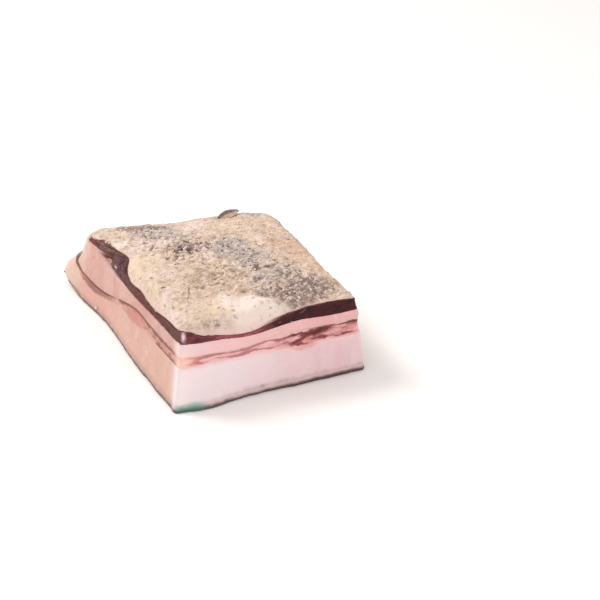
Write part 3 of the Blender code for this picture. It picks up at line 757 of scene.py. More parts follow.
def lean_marks(rows, shares):
    """The dark lean: where it is thin, darkest, lumpy, ruddy, fatty and taupe, where fat bits lie in it, and
    where it runs out."""
    x, y = rows[..., 0], rows[..., 1]
    away = np.hypot(x - LEAN_END[0], y - LEAN_END[1]) + 0.003 * clouds(rows, 0.006, 72)
    bits = np.zeros(shares.shape)
    for bit_x, bit_y, share, along, up in LEAN_BITS:
        bits += swell(x, y, ((bit_x, bit_y, along, LEAN_BIT_STRENGTH),)) * bell(shares - share, up)
    return {
        "thin": fade(0.0016, 0.0048, lean_top(x, y) - fat_middle_top(x, y)) * ease(0.022, 0.034, x),
        "dark": ease(0.050, 0.070, x) * fade(0.02, 0.05, y),
        "bits": np.clip(bits, 0.0, 1.0),
        "lump": zone(x, y, *LEAN_KNOBS),
        "end": fade(LEAN_END[2] - 0.004, LEAN_END[2], away),
        "tip": zone(x, y, TIP),
        "fatty": zone(x, y, FATTY_FOOT) * fade(0.38, 0.58, shares),
        "crown": zone(x, y, CROWN) * ease(0.72, 0.95, shares),
    }


def fat_marks(rows, shares):
    """Ink at the near corner of the foot, the grey smudge and its darker spots over the front cut's rind, the
    height, the stains and the blush under the streak, and the far end of the left side."""
    x, y, z = np.moveaxis(rows, -1, 0)
    edge = 0.0009 * clouds(rows, 0.006, 70)
    ink = ease(-0.0015, 0.0012, x) * fade(0.0145, 0.0230, x + edge) * fade(0.004, 0.008, y)
    under = fat_back_top(x, y) - z + 0.8 * edge
    deep = swell(x, y, STAINS)
    thicker = RIND_THICKER_RIGHT * ease(0.050, 0.100, x) * fade(0.004, 0.012, y)
    return {
        "ink": ink * fade(0.0022, 0.0060, z + edge),
        "smudge": ease(0.014, 0.044, x) * fade(0.0022, 0.0078, z + 2.0 * edge),
        "spots": zone(x, y, *SMUDGE_SPOTS) * fade(0.0050, 0.0085, z + edge),
        "high": z,
        "stain": ease(0.0004, 0.0020, deep) * fade(-0.0012, 0.0010, under - deep),
        "thicker": thicker + RIND_THICKER_FAR * zone(x, y, FAR_END),
        "blush": fade(0.0002, BLUSH, under) * ease(0.004, 0.012, x) * fade(0.004, 0.010, y),
        "far": swell(x, y, (FAR_SIDE,)),
        "cream": zone(x, y, FAR_END),
    }


def middle_marks(rows, shares):
    """The middle fat's painted highlight, a paler, cooler stretch under the dark lean near the front corner,
    its cream far end, and the lean's stain on its upper edge."""
    x, y = rows[..., 0], rows[..., 1]
    ragged = shares + 0.03 * clouds(rows, 0.006, 74, 2)
    return {
        "cool": swell(x, y, (MIDDLE_HIGHLIGHT,)) * ease(0.15, 0.7, shares),
        "cream": zone(x, y, FAR_END),
        "stained": zone(x, y, FAT_STAIN) * fade(0.012, 0.020, x) * ease(0.905, 0.955, ragged),
    }


def edge_lines(length):
    """Grid lines from 0 to length, closer where the crust turns down at both ends."""
    turn = np.linspace(0.0, math.pi / 2.0, CRUST_EDGE_LINES + 1)
    edge = EDGE_ROUND * (1.0 - np.cos(turn))
    steps = round((length - 2.0 * EDGE_ROUND) / CRUST_SPACING)
    middle = np.linspace(EDGE_ROUND, length - EDGE_ROUND, steps + 1)[1:-1]
    return np.concatenate([edge, middle, length - edge[::-1]])


def round_corners(flat):
    """A filled square corner drawn onto a quarter disc, at each of the rectangle's corners."""
    for radius, (right, back) in zip(CORNER_RADII, ((0, 0), (1, 0), (1, 1), (0, 1))):
        corner = np.array([right * WIDTH, back * DEPTH])
        way = np.array([1.0 - 2.0 * right, 1.0 - 2.0 * back])
        reach = 1.0 - (flat - corner) * way / radius
        inside = (reach > 0.0).all(axis=-1)
        disc = reach * np.sqrt(np.maximum(1.0 - reach[..., ::-1] ** 2 / 2.0, 0.0))
        flat = np.where(inside[..., None], corner + way * radius * (1.0 - disc), flat)
    return flat


def crease(x, y):
    """Share of 0 to 1: a bell around a wandering arc on the side that faces away from the front."""
    plan = np.stack([x, y], axis=-1)
    across, back = x - CREASE_CENTRE[0], y - CREASE_CENTRE[1]
    away = np.hypot(across, back) - CREASE_RADIUS + CREASE_WANDER * clouds(plan, 0.010, 96, 2)
    return bell(away, CREASE_WIDTH) * ease(-0.2, 0.5, back / CREASE_RADIUS)


def pits(x, y):
    """Depth of the pits: round bells, and flat ones in the steep front edge."""
    depth = -swell(x, y, PITS)
    for centre_x, centre_y, along, across, most in SLITS:
        depth += most * bell(x - centre_x, along) * bell(y - centre_y, across)
    return depth


def crust_relief(x, y):
    """Fine relief of the crust: wrinkles, ridges and pebbles where it is rough, pits, and a fine grain."""
    plan = np.stack([x, y], axis=-1)
    rough = np.maximum(roughness_of(x, y), SMOOTHEST) * (1.0 - swell(x, y, CALM))
    wrinkles = WRINKLE * clouds(plan, WRINKLE_SIZE, 80)
    ridges = RIDGE * (1.0 - 2.0 * np.abs(clouds(plan, RIDGE_SIZE, 84, 2)))
    warp = np.stack([clouds(plan, STRAY_SIZE, number, 2) for number in (86, 88)], axis=-1)
    bent = plan + STRAY * warp
    lumps = LUMP * (pebbles(bent, LUMP_SIZE, 90) - PEBBLE_GROUND)
    bumps = PEBBLE * (pebbles(bent[..., ::-1], PEBBLE_SIZE, 92) - PEBBLE_GROUND)
    grain = FINE * clouds(plan, FINE_SIZE, 94, 2)
    hollows = pits(x, y) + CREASE * crease(x, y)
    return rough * (wrinkles + ridges + lumps + bumps) + 0.5 * wrinkles + grain - hollows


CrustGrid = collections.namedtuple("CrustGrid", "base normal relief face inset flat")


def crust_grid():
    """The crust's outer face as a grid: its base, its outward ways, its relief, the face that they give, its
    distance from the edge and its flat points. From the edge in, the base climbs to the top in a quarter
    round."""
    x, y = np.meshgrid(edge_lines(WIDTH), edge_lines(DEPTH), indexing="ij")
    side = np.minimum(x, WIDTH - x)
    end = np.minimum(y, DEPTH - y)
    blend = np.clip(0.5 + 0.5 * (end - side) / EDGE_SOFT, 0.0, 1.0)
    inset = end + blend * (side - end) - EDGE_SOFT * blend * (1.0 - blend) * 0.5
    inset = np.maximum(inset, 0.0)
    flat = uneven_cut(round_corners(np.stack([x, y], axis=-1)))
    flat = shrink(flat, bare_width(flat))
    turn = np.arccos(1.0 - np.clip(inset / EDGE_ROUND, 0.0, 1.0))
    foot, top = laid(flat, lean_top)[..., 2] - SINK, laid(flat, crust_top)[..., 2]
    base = raised(flat, foot + (top - foot) * np.sin(turn))
    normal = np.cross(np.gradient(base, axis=0), np.gradient(base, axis=1))
    normal /= np.maximum(np.linalg.norm(normal, axis=-1, keepdims=True), 1e-12)
    relief = crust_relief(base[..., 0], base[..., 1]) * ease(0.0, 0.5, turn)
    return CrustGrid(base, normal, relief, base + normal * relief[..., None], inset, flat)


def rim_indices(rows, columns):
    """Indices of a grid's rim, anticlockwise from its first corner."""
    front = np.arange(rows - 1) * columns
    right = (rows - 1) * columns + np.arange(columns - 1)
    back = (np.arange(rows - 1, 0, -1)) * columns + columns - 1
    left = np.arange(columns - 1, 0, -1)
    return np.concatenate([front, right, back, left])


def crust_skin(grid):
    """Points and faces of the crust: its grid, closed by rings over the lean to a pole in the middle."""
    rows, columns = grid.inset.shape
    row, column = np.meshgrid(np.arange(rows - 1), np.arange(columns - 1), indexing="ij")
    corner = (row * columns + column).ravel()
    faces = np.column_stack([corner, corner + columns, corner + columns + 1, corner + 1]).tolist()
    rim = rim_indices(rows, columns)
    rim_flat = grid.flat.reshape(-1, 2)[rim]
    under = [laid(MIDDLE + (rim_flat - MIDDLE) * scale, lean_top) for scale in INNER_RINGS]
    under.append(laid(MIDDLE, lean_top)[None])
    count, total = len(rim), rows * columns
    rings = [rim] + [total + number * count + np.arange(count) for number in range(len(INNER_RINGS))]
    for outer, inner in zip(rings, rings[1:]):
        faces += np.column_stack([outer, inner, np.roll(inner, -1), np.roll(outer, -1)]).tolist()
    pole = np.full(count, total + len(INNER_RINGS) * count)
    faces += np.column_stack([np.roll(rings[-1], -1), rings[-1], pole]).tolist()
    under = np.concatenate(under) - (0.0, 0.0, SINK)
    return np.concatenate([grid.face.reshape(-1, 3), under]), faces


def smoothed(field, passes):
    """The grid's field after that many rounds of giving each point the mean of itself and its neighbours."""
    for _ in range(passes):
        for axis in (0, 1):
            field = (np.roll(field, 1, axis) + field + np.roll(field, -1, axis)) / 3.0
    return field


def lean_stain(x, y, inset):
    """Share of 0 to 1: the lean stains the crust's edge on the left and at the front's right."""
    width = LEAN_STAIN + swell(x, y, LEAN_STAINS)
    width = width * (1.0 + 0.5 * clouds(np.stack([x, y], axis=-1), 0.006, 98, 2))
    left = fade(0.012, 0.020, x) * fade(0.152, 0.166, y)
    right = ease(0.055, 0.075, x) * fade(0.020, 0.040, y)
    return fade(0.6, 1.5, inset / width) * np.maximum(left, right)


def crust_marks(grid, hidden):
    """Marks of the crust: its colour zones, its hollows and crests, which get painted shade and painted
    highlight, its pits and far edge, which get painted shade, its edge and its roughness, and none on the
    hidden points. A hollow is where the relief lies under the mean of a narrow and of a wide neighbourhood."""
    x, y = grid.base[..., 0], grid.base[..., 1]
    near = smoothed(grid.relief, 7) - smoothed(grid.relief, 1)
    wide = smoothed(grid.relief, 26) - smoothed(grid.relief, 4)
    level = 0.15 + 0.85 * ease(0.0015, 0.0080, grid.inset)
    marks = {title: zone(x, y, *bumps) for title, bumps in ZONES.items()}
    # the crease is painted ochre: partly painted shade in the fold, partly ochre colour
    marks["ochre"] = np.maximum(marks["ochre"], 0.8 * crease(x, y))
    marks.update({
        "hollow_brown_shade_and_crest_highlight": np.clip(0.6 * (near + wide) / CAVITY, -1.0, 1.0) * level,
        "edge": fade(0.0001, 0.0016, grid.inset),
        "stained": lean_stain(x, y, grid.inset),
        # painted shade along the crust's far right edge
        "far_edge_shade": fade(0.0010, 0.0060, grid.inset) * ease(0.080, 0.120, y) * ease(0.050, 0.080, x),
        "rough": roughness_of(x, y),
        "pit_shade": np.clip(pits(x, y) / DARKEST_PIT, 0.0, 1.0),
    })
    return {title: np.append(values.ravel(), np.zeros(hidden)) for title, values in marks.items()}


class Paint:
    """A procedural material while it is put together, with the colour that it has so far. A value in it is a
    node's socket, a number, a colour, or a mark by its name."""

    SIGNS = {"+": "ADD", "-": "SUBTRACT", "*": "MULTIPLY", "max": "MAXIMUM"}

    def __init__(self, name, colour=None):
        self.made = bpy.data.materials.new(name)
        self.made.use_nodes = True
        self.tree = self.made.node_tree
        self.shader = self.tree.nodes["Principled BSDF"]
        self.place = self.node("ShaderNodeTexCoord", "Object")
        self.colour = colour

    def join(self, value, socket):
        """Leads the value into the socket."""
        if isinstance(value, str):
            value = self.node("ShaderNodeAttribute", "Fac", attribute_name=value)
        if isinstance(value, bpy.types.NodeSocket):
            self.tree.links.new(value, socket)
        elif socket.type == "RGBA":
            socket.default_value = (*value, 1.0)
        else:
            socket.default_value = value

    def node(self, kind, output, inputs=(), **settings):
        """The output of a new node with these inputs and settings."""
        made = self.tree.nodes.new(kind)
        for title, setting in settings.items():
            setattr(made, title, setting)
        for title, value in dict(inputs).items():
            self.join(value, made.inputs[title])
        return made.outputs[output]

    def noise(self, size, detail=3.0, roughness=0.55, distortion=0.0, stretch=None):
        """Cloudy noise of that size, drawn out along the axes where the stretch is under 1."""
        place = self.place
        if stretch:
            place = self.node("ShaderNodeMapping", "Vector", {"Vector": place, "Scale": stretch})
        inputs = {"Vector": place, "Scale": 1.0 / size, "Detail": detail, "Roughness": roughness}
        return self.node("ShaderNodeTexNoise", "Fac", {**inputs, "Distortion": distortion})

    def span(self, value, low, high, bottom=0.0, top=1.0):
        """The value's span from low to high carried onto bottom to top by a smooth S."""
        inputs = {"Value": value, "From Min": low, "From Max": high, "To Min": bottom, "To Max": top}
        return self.node("ShaderNodeMapRange", "Result", inputs, interpolation_type="SMOOTHSTEP")

    def reckon(self, first, sign, second):
        """The two values joined by the sign."""
        return self.node("ShaderNodeMath", "Value", {0: first, 1: second}, operation=self.SIGNS[sign])

    def mix(self, amount, first, second):
        """The first colour where the amount is 0 and the second where it is 1."""
        return self.node("ShaderNodeMix", 2, {0: amount, 6: first, 7: second}, data_type="RGBA")

    def over(self, tone, amount, most=1.0):
        """Lays the tone over the colour so far by the amount, times the share most."""
        if most != 1.0:
            amount = self.reckon(amount, "*", most)
        self.colour = self.mix(amount, self.colour, tone)

    def bump(self, *reliefs):
        """The normal of reliefs laid over one another, each a field and its height."""
        normal = None
        for field, height in reliefs:
            inputs = {"Height": field, "Distance": height}
            if normal is not None:
                inputs["Normal"] = normal
            normal = self.node("ShaderNodeBump", "Normal", inputs)
        return normal

    def finish(self, roughness, normal=None, flesh=0.0, depth=0.002, shine=0.5):
        """The finished material; light enters it by the share flesh, to about the depth."""
        inputs = {"Base Color": self.colour, "Roughness": roughness, "Specular IOR Level": shine}
        if normal is not None:
            inputs["Normal"] = normal
        if flesh:
            inputs["Subsurface Weight"] = flesh
            inputs["Subsurface Radius"] = FLESH_RADIUS
            inputs["Subsurface Scale"] = depth
        for title, value in inputs.items():
            self.join(value, self.shader.inputs[title])
        return self.made


def lay_cut_fat(paint, front, side, uncut, corner_highlight):
    """Fat seen on the front cut, painted darker to the right partly as painted shade, on the darker, warmer
    side cuts and on the uncut back, each softly clouded in upright bands, and a painted highlight down the
    near corner."""
    broad = paint.noise(0.020, distortion=0.5, stretch=(1.0, 1.0, 0.25))
    small = paint.noise(0.005, detail=4.0)
    slow = paint.noise(0.030, detail=2.0, distortion=0.4)
    patches = paint.noise(0.011, detail=5.0, roughness=0.6, distortion=0.8)
    specks = paint.noise(0.0022, detail=6.0, roughness=0.65)
    # the front cut is painted darker and pinker to the right, partly as painted shade
    front_tone = paint.mix(paint.reckon("along", "*", paint.span(broad, 0.3, 0.7, 0.6, 1.0)), *front)
    side_tone = paint.mix(paint.span(broad, 0.36, 0.64), *side)
    rubbed = paint.mix(paint.span(slow, 0.30, 0.70), *uncut)
    rubbed = paint.mix(paint.span(patches, 0.50, 0.66, 0.0, 0.60), rubbed, (0.78, 0.645, 0.54))
    rubbed = paint.mix(paint.span(patches, 0.46, 0.32, 0.0, 0.55), rubbed, (0.46, 0.300, 0.21))
    rubbed = paint.mix(paint.span(specks, 0.46, 0.74, 0.0, 0.55), rubbed, (0.42, 0.31, 0.245))
    paint.colour = paint.mix("front", side_tone, front_tone)
    paint.over(rubbed, "back")
    paint.over((0.88, 0.70, 0.64), paint.span(small, 0.50, 0.78, 0.0, 0.22))
    # painted highlight down the near corner's edge
    paint.over(corner_highlight, "corner", 0.9)


def fat_back_paint():
    """Back fat, cool on the front and warm on the side, with brown rind, its bottom line partly painted
    contact shade, and green ink at the near corner.
    """
    paint = Paint("back fat")
    lay_cut_fat(
        paint,
        # the second front tone, towards the right, is darker partly as painted shade
        front=((0.82, 0.685, 0.700), (0.72, 0.46, 0.48)),
        side=((0.640, 0.365, 0.300), (0.645, 0.395, 0.310)),
        uncut=((0.69, 0.53, 0.40), (0.60, 0.44, 0.33)),
        corner_highlight=(0.86, 0.735, 0.735),
    )
    fine = paint.noise(0.0012, detail=5.0)
    mottle = paint.noise(0.0045, detail=5.0)
    paint.over((0.68, 0.355, 0.320), "far", 0.75)
    paint.over((0.69, 0.490, 0.385), "cream", 0.85)
    paint.over((0.84, 0.545, 0.525), "blush", 0.85)
    stain = paint.mix("far", (0.54, 0.225, 0.180), (0.27, 0.098, 0.078))
    paint.over(paint.mix("front", stain, (0.72, 0.36, 0.33)), "stain", 0.92)
    paint.over((0.45, 0.330, 0.330), paint.reckon("smudge", "*", paint.span(mottle, 0.30, 0.66, 0.40, 0.85)))
    paint.over((0.31, 0.235, 0.225), paint.reckon("spots", "*", paint.span(mottle, 0.36, 0.60, 0.25, 0.80)))
    uneven = paint.reckon(paint.reckon(mottle, "-", 0.5), "*", 0.0018)
    height = paint.reckon(paint.reckon("high", "+", uneven), "-", "thicker")
    rim = paint.mix("front", (0.45, 0.295, 0.240), (0.63, 0.455, 0.445))
    paint.over(rim, paint.span(height, 0.0056, 0.0034, 0.0, 0.75))
    rind = paint.mix("front", (0.165, 0.098, 0.078), (0.215, 0.115, 0.106))
    rind = paint.mix(paint.span(mottle, 0.38, 0.64, 0.0, 0.5), rind, (0.200, 0.130, 0.110))
    rind = paint.mix(paint.span(fine, 0.55, 0.75, 0.0, 0.5), rind, (0.060, 0.034, 0.032))
    rind = paint.mix(paint.reckon("cream", "*", 0.7), rind, (0.34, 0.260, 0.225))
    paint.over(rind, paint.span(height, 0.0036, 0.0014))
    # the rind's dark bottom line: its own dark brown, partly painted contact shade where the foot meets the
    # floor
    dark = paint.span(height, 0.0024, 0.0008, 0.0, 0.9)
    paint.over((0.066, 0.028, 0.027), paint.reckon(dark, "*", "front"))
    paint.over((0.040, 0.019, 0.020), paint.span("high", 0.0014, 0.0002, 0.0, 0.85))
    green = paint.mix(paint.span("high", 0.0046, 0.0006), (0.22, 0.42, 0.34), (0.030, 0.100, 0.078))
    paint.over(green, paint.reckon("ink", "*", paint.span(fine, 0.30, 0.60, 0.85, 1.0)))
    normal = paint.bump((paint.noise(0.0009), 0.00008), (paint.noise(0.006), 0.0003))
    return paint.finish(paint.span(mottle, 0.3, 0.7, 0.38, 0.54), normal, flesh=0.35, depth=0.003, shine=0.4)


def fat_middle_paint():
    """The pink band of fat between the leans."""
    paint = Paint("middle fat")
    lay_cut_fat(
        paint,
        # the second front tone, towards the right, is darker partly as painted shade
        front=((0.83, 0.52, 0.51), (0.71, 0.37, 0.365)),
        side=((0.57, 0.290, 0.245), (0.620, 0.355, 0.300)),
        uncut=((0.70, 0.53, 0.40), (0.61, 0.45, 0.34)),
        corner_highlight=(0.88, 0.68, 0.60),
    )
    # painted highlight: a paler, cooler stretch under the dark lean
    paint.over((0.80, 0.585, 0.620), "cool", 0.8)
    paint.over((0.68, 0.480, 0.380), "cream", 0.7)
    paint.over((0.66, 0.30, 0.27), paint.span("share", 0.0, 0.12, 0.30, 0.0))
    paint.over((0.110, 0.034, 0.028), "stained")
    normal = paint.bump((paint.noise(0.0010), 0.00008), (paint.noise(0.005), 0.00025))
    roughness = paint.span(paint.noise(0.004), 0.3, 0.7, 0.36, 0.52)
    return paint.finish(roughness, normal, flesh=0.35, shine=0.4)


def streak_paint():
    """The lean streak: red and brown lines, and a salmon flush around them, in pale fat."""
    paint = Paint("lean streak")
    fine = paint.noise(0.0016, detail=5.0, stretch=(0.35, 0.35, 1.0))
    ovals = paint.noise(0.0042, detail=2.0, stretch=(0.40, 0.40, 1.0))
    paint.colour = paint.mix("front", (0.640, 0.370, 0.300), (0.84, 0.54, 0.52))
    paint.over((0.52, 0.39, 0.30), "back")
    flush = paint.reckon("flush", "*", paint.span(ovals, 0.66, 0.34, 0.35, 1.0))
    side = paint.mix("deep", (0.55, 0.235, 0.190), (0.27, 0.098, 0.078))
    pink = paint.mix("orange", (0.72, 0.325, 0.330), (0.88, 0.385, 0.315))
    salmon = paint.mix("rich", paint.mix("front", side, pink), (0.56, 0.185, 0.180))
    paint.over(salmon, paint.reckon(flush, "max", paint.reckon("solid", "*", 0.9)))
    beads = paint.reckon("lean", "*", paint.span(ovals, 0.38, 0.60, 0.70, 1.15))
    strength = paint.reckon(beads, "+", paint.reckon(fine, "-", 0.5))
    red = paint.mix("front", (0.235, 0.088, 0.064), (0.45, 0.175, 0.180))
    red = paint.mix("rich", red, (0.235, 0.038, 0.045))
    red = paint.mix("brown", red, (0.125, 0.022, 0.012))
    paint.over(red, paint.span(strength, 0.14, 0.66, 0.0, 0.92))
    paint.over((0.060, 0.008, 0.005), paint.reckon(paint.span(strength, 0.80, 1.20, 0.0, 0.8), "*", "rich"))
    paint.over((0.56, 0.170, 0.130), "blotch", 0.9)
    # painted highlight down the near corner's edge
    paint.over((0.90, 0.60, 0.50), "corner", 0.75)
    return paint.finish(0.50, paint.bump((fine, 0.00018)), flesh=0.12, depth=0.0007, shine=0.18)


def lean_paint():
    """The dark dried lean: burgundy, redder where it is thin, brown and dull where it is bared from above."""
    paint = Paint("dark lean")
    fibres = paint.noise(0.0015, detail=6.0, roughness=0.62, stretch=(0.30, 0.30, 1.0))
    veins = paint.noise(0.0030, detail=4.0, distortion=1.2, stretch=(0.5, 0.5, 1.0))
    streaky = paint.noise(0.0026, distortion=0.5, stretch=(1.0, 0.35, 1.0))
    knots = paint.noise(0.0022, detail=4.0, roughness=0.6)
    stringy = paint.span(fibres, 0.34, 0.68)
    knotty = paint.span(knots, 0.36, 0.64)
    paint.colour = paint.mix(stringy, (0.060, 0.012, 0.008), (0.175, 0.052, 0.036))
    paint.over(paint.mix(stringy, (0.058, 0.008, 0.011), (0.205, 0.042, 0.050)), "front")
    paint.over(paint.mix(stringy, (0.020, 0.001, 0.002), (0.075, 0.008, 0.010)), "dark")
    thinned = paint.mix(stringy, (0.240, 0.036, 0.058), (0.42, 0.105, 0.130))
    paint.over(thinned, paint.reckon("thin", "*", "front"))
    paint.over((0.34, 0.13, 0.13), paint.span(veins, 0.60, 0.72, 0.0, 0.30))
    bared = paint.mix(stringy, (0.042, 0.013, 0.010), (0.145, 0.054, 0.043))
    paint.over(bared, paint.span("share", 0.90, 1.0, 0.0, 0.85))
    paint.over(paint.mix(knotty, (0.040, 0.010, 0.015), (0.165, 0.064, 0.080)), "lump", 0.85)
    ruddy = paint.mix(paint.span(streaky, 0.40, 0.58), (0.070, 0.008, 0.007), (0.24, 0.062, 0.050))
    paint.over(paint.mix(paint.span(streaky, 0.54, 0.64), ruddy, (0.48, 0.215, 0.180)), "tip", 0.95)
    paint.over(paint.mix(knotty, (0.095, 0.055, 0.046), (0.21, 0.128, 0.100)), "crown", 0.9)
    paint.over((0.62, 0.335, 0.290), "fatty")
    paint.over(paint.mix(paint.noise(0.004, detail=4.0), (0.76, 0.56, 0.44), (0.54, 0.39, 0.31)), "end")
    paint.over((0.84, 0.61, 0.62), paint.reckon("bits", "*", paint.span(knots, 0.30, 0.46, 0.35, 1.0)))
    roughness = paint.span(fibres, 0.3, 0.7, 0.40, 0.66)
    return paint.finish(roughness, paint.bump((fibres, 0.00035)), flesh=0.08, depth=0.0008, shine=0.22)


def crust_paint():
    """The crust: dried cream fat with zones of other tones whose borders are broken by noise, painted shade
    in the hollows, partly their own brown, and in the pits and along the far edge, a painted highlight on the
    crests, brown specks and a paler edge."""
    paint = Paint("crust")
    broad = paint.noise(0.012, detail=4.0, distortion=0.8)
    mottle = paint.noise(0.0046, roughness=0.5)
    fine = paint.noise(0.0015)
    drift = paint.noise(0.0085, detail=5.0, roughness=0.6, distortion=0.6)
    dots = paint.noise(0.0028, detail=1.5, roughness=0.5)
    salted = paint.noise(0.0028, detail=1.5, roughness=0.5, stretch=(1.0, 1.0, 1.3))
    paint.colour = paint.mix(paint.span(mottle, 0.34, 0.66), (0.70, 0.525, 0.395), (0.53, 0.380, 0.280))
    uneven = paint.reckon(paint.reckon(broad, "*", 0.7), "+", paint.reckon(mottle, "*", 0.7))
    uneven = paint.reckon(uneven, "-", 0.7)
    for title, tone, most in CRUST_TONES:
        paint.over(tone, paint.span(paint.reckon(title, "+", uneven), 0.18, 0.72, 0.0, most))
    bare = paint.reckon(1.0, "-", paint.reckon("white", "*", 0.85))
    paint.over((0.40, 0.280, 0.195), paint.reckon(paint.span(drift, 0.50, 0.66, 0.0, 0.42), "*", bare))
    paint.over((0.80, 0.660, 0.560), paint.span(drift, 0.46, 0.34, 0.0, 0.35))
    speck = paint.reckon(dots, "+", paint.reckon("rough", "*", 0.07))
    paint.over((0.19, 0.120, 0.098), paint.span(speck, 0.60, 0.76, 0.0, 0.55))
    pale = paint.reckon(salted, "+", paint.reckon("rough", "*", 0.06))
    paint.over((0.80, 0.665, 0.590), paint.span(pale, 0.56, 0.70, 0.0, 0.50))
    # painted shade in the hollows, partly the crust's own brown gathered there
    paint.over((0.20, 0.125, 0.097), paint.span("hollow_brown_shade_and_crest_highlight", 0.05, 0.85, 0.0, 0.78))
    # painted highlight on the crests
    paint.over((0.84, 0.70, 0.61), paint.span("hollow_brown_shade_and_crest_highlight", -0.20, -0.95, 0.0, 0.50))
    # painted shade in the pits
    paint.over((0.17, 0.105, 0.075), paint.reckon("pit_shade", "*", paint.span(fine, 0.36, 0.60, 0.45, 1.0)))
    # painted shade along the crust's far right edge
    paint.over((0.38, 0.320, 0.270), "far_edge_shade", 0.55)
    paint.over((0.74, 0.51, 0.47), "edge", 0.6)
    lean = paint.mix(paint.span(fine, 0.40, 0.62), (0.062, 0.014, 0.013), (0.175, 0.060, 0.050))
    paint.over(lean, "stained")
    roughness = paint.span(mottle, 0.3, 0.7, 0.58, 0.78)
    return paint.finish(roughness, paint.bump((fine, 0.00016)), flesh=0.10, depth=0.0010, shine=0.3)


def scrap_paint():
    """The dried scrap: cream at its foot, then pink, with a dark brown rim."""
    paint = Paint("dried scrap")
    tone = paint.span(paint.noise(0.0025, detail=4.0), 0.35, 0.65)
    paint.colour = paint.mix(tone, (0.50, 0.31, 0.27), (0.66, 0.46, 0.42))
    paint.over((0.70, 0.535, 0.400), "foot")
    paint.over(paint.mix(tone, (0.120, 0.075, 0.066), (0.20, 0.135, 0.120)), "rim")
    return paint.finish(0.6, paint.bump((tone, 0.0002)), flesh=0.1, depth=0.0006, shine=0.3)


def plain_paint(name, dark, light, size, roughness, flesh=0.0):
    """A small piece's material: two tones in a fine noise."""
    paint = Paint(name)
    paint.colour = paint.mix(paint.span(paint.noise(size), 0.35, 0.65), dark, light)
    return paint.finish(roughness, flesh=flesh, depth=0.0006)


def chip_shape():
    """A ball of twenty faces, as unit points and triangles: two poles and two turned rings of five."""
    ring = np.arange(5) * math.tau / 5.0
    low = math.atan(0.5)
    points = [(0.0, 0.0, 1.0)]
    for tilt, turn in ((low, 0.0), (-low, math.pi / 5.0)):
        for angle in ring + turn:
            flat = math.cos(tilt)
            points.append((flat * math.cos(angle), flat * math.sin(angle), math.sin(tilt)))
    points.append((0.0, 0.0, -1.0))
    faces = []
    for side in range(5):
        after = (side + 1) % 5
        faces += [(0, 1 + side, 1 + after), (1 + side, 6 + side, 1 + after)]
        faces += [(1 + after, 6 + side, 6 + after), (11, 6 + after, 6 + side)]
    return np.array(points), np.array(faces)


def turns(draw, count):
    """Random turns, as count square matrices, from random unit quaternions."""
    quaternion = draw.normal(size=(count, 4))
    quaternion /= np.linalg.norm(quaternion, axis=1, keepdims=True)
    w, x, y, z = quaternion.T
    rows = [[1 - 2 * (y * y + z * z), 2 * (x * y - z * w), 2 * (x * z + y * w)],
            [2 * (x * y + z * w), 1 - 2 * (x * x + z * z), 2 * (y * z - x * w)],
            [2 * (x * z - y * w), 2 * (y * z + x * w), 1 - 2 * (x * x + y * y)]]
    return np.moveaxis(np.array(rows), -1, 0)


def add_chips(name, slot, places, radii, flatness, made, draw):
    """Chips of the given radii at the places, each one a squashed, jagged and turned copy of the ball."""
    points, faces = chip_shape()
    count = len(places)
    stretch = np.stack([radii * draw.uniform(*share, count) for share in (*CHIP_SHARES, flatness)], axis=-1)
    shapes = points[None] * stretch[:, None] * draw.uniform(*CHIP_JAGGED, (count, len(points), 1))
    shapes = np.einsum("nij,npj->npi", turns(draw, count), shapes) + places[:, None]
    indices = faces[None] + np.arange(count)[:, None, None] * len(points)
    chips = mesh_object(name, shapes.reshape(-1, 3), indices.reshape(-1, 3).tolist(), made, sharp=25.0)
    dress(chips, slot)


def crust_places(draw, count, weight, lift, radius, grid):
    """Random places on the crust's face, likelier where weight is high, lifted by a share of the radius."""
    chance = weight(grid.base[..., 0], grid.base[..., 1], grid.inset).ravel()
    picked = draw.choice(len(chance), count, replace=False, p=chance / chance.sum())
    return grid.face.reshape(-1, 3)[picked] + grid.normal.reshape(-1, 3)[picked] * (lift * radius)[:, None]


def pepper_chance(x, y, inset):
    """Thick on the dark and grey zones, thin elsewhere, none on the white one and at the very edge."""
    zones = np.clip(swell(x, y, ZONES["mauve"] + ZONES["grey"]), 0.0, 1.2)
    return (0.035 + zones**1.5) * bare_of_salt(x, y) * ease(0.001, 0.004, inset)


def salt_chance(x, y, inset):
    """Everywhere but on the white zone, thicker on the rough zones and thinner on the grey and dark ones."""
    dark = swell(x, y, ZONES["grey"]) + 0.7 * swell(x, y, ZONES["mauve"])
    thinner = 1.0 - 0.6 * np.clip(dark, 0.0, 1.0)
    return (0.10 + roughness_of(x, y)) * thinner * bare_of_salt(x, y) * ease(0.0008, 0.003, inset)


def bare_of_salt(x, y):
    """Share of 0 on the smooth white zone to 1 off it."""
    return fade(0.15, 0.50, swell(x, y, ZONES["white"]))


def grain_places(draw, grid):
    """Places of the largest grains: spread apart over the crust and thickest where it is rough."""
    spots = np.empty((0, 2))
    while len(spots) < GRAINS:
        spot = draw.uniform((0.0, 0.0), (WIDTH, DEPTH), (1, 2))
        place = laid(spot, crust_top)[0]
        rough = ROUGH_EVERYWHERE + swell(place[0], place[1], ROUGH_ZONES)
        crowded = len(spots) and np.linalg.norm(spots - spot, axis=1).min() < GRAIN_APART
        margin = bare_width(spot)[0] + GRAIN_EDGE * EDGE_ROUND + GRAIN_RADIUS[1]
        inside = np.all((spot > margin) & (spot < (WIDTH - margin, DEPTH - margin)))
        if draw.random() < rough and not crowded and inside:
            spots = np.concatenate([spots, spot])
    nearest = [np.argmin(((grid.flat - spot) ** 2).sum(axis=-1)) for spot in spots]
    return grid.base.reshape(-1, 3)[nearest]


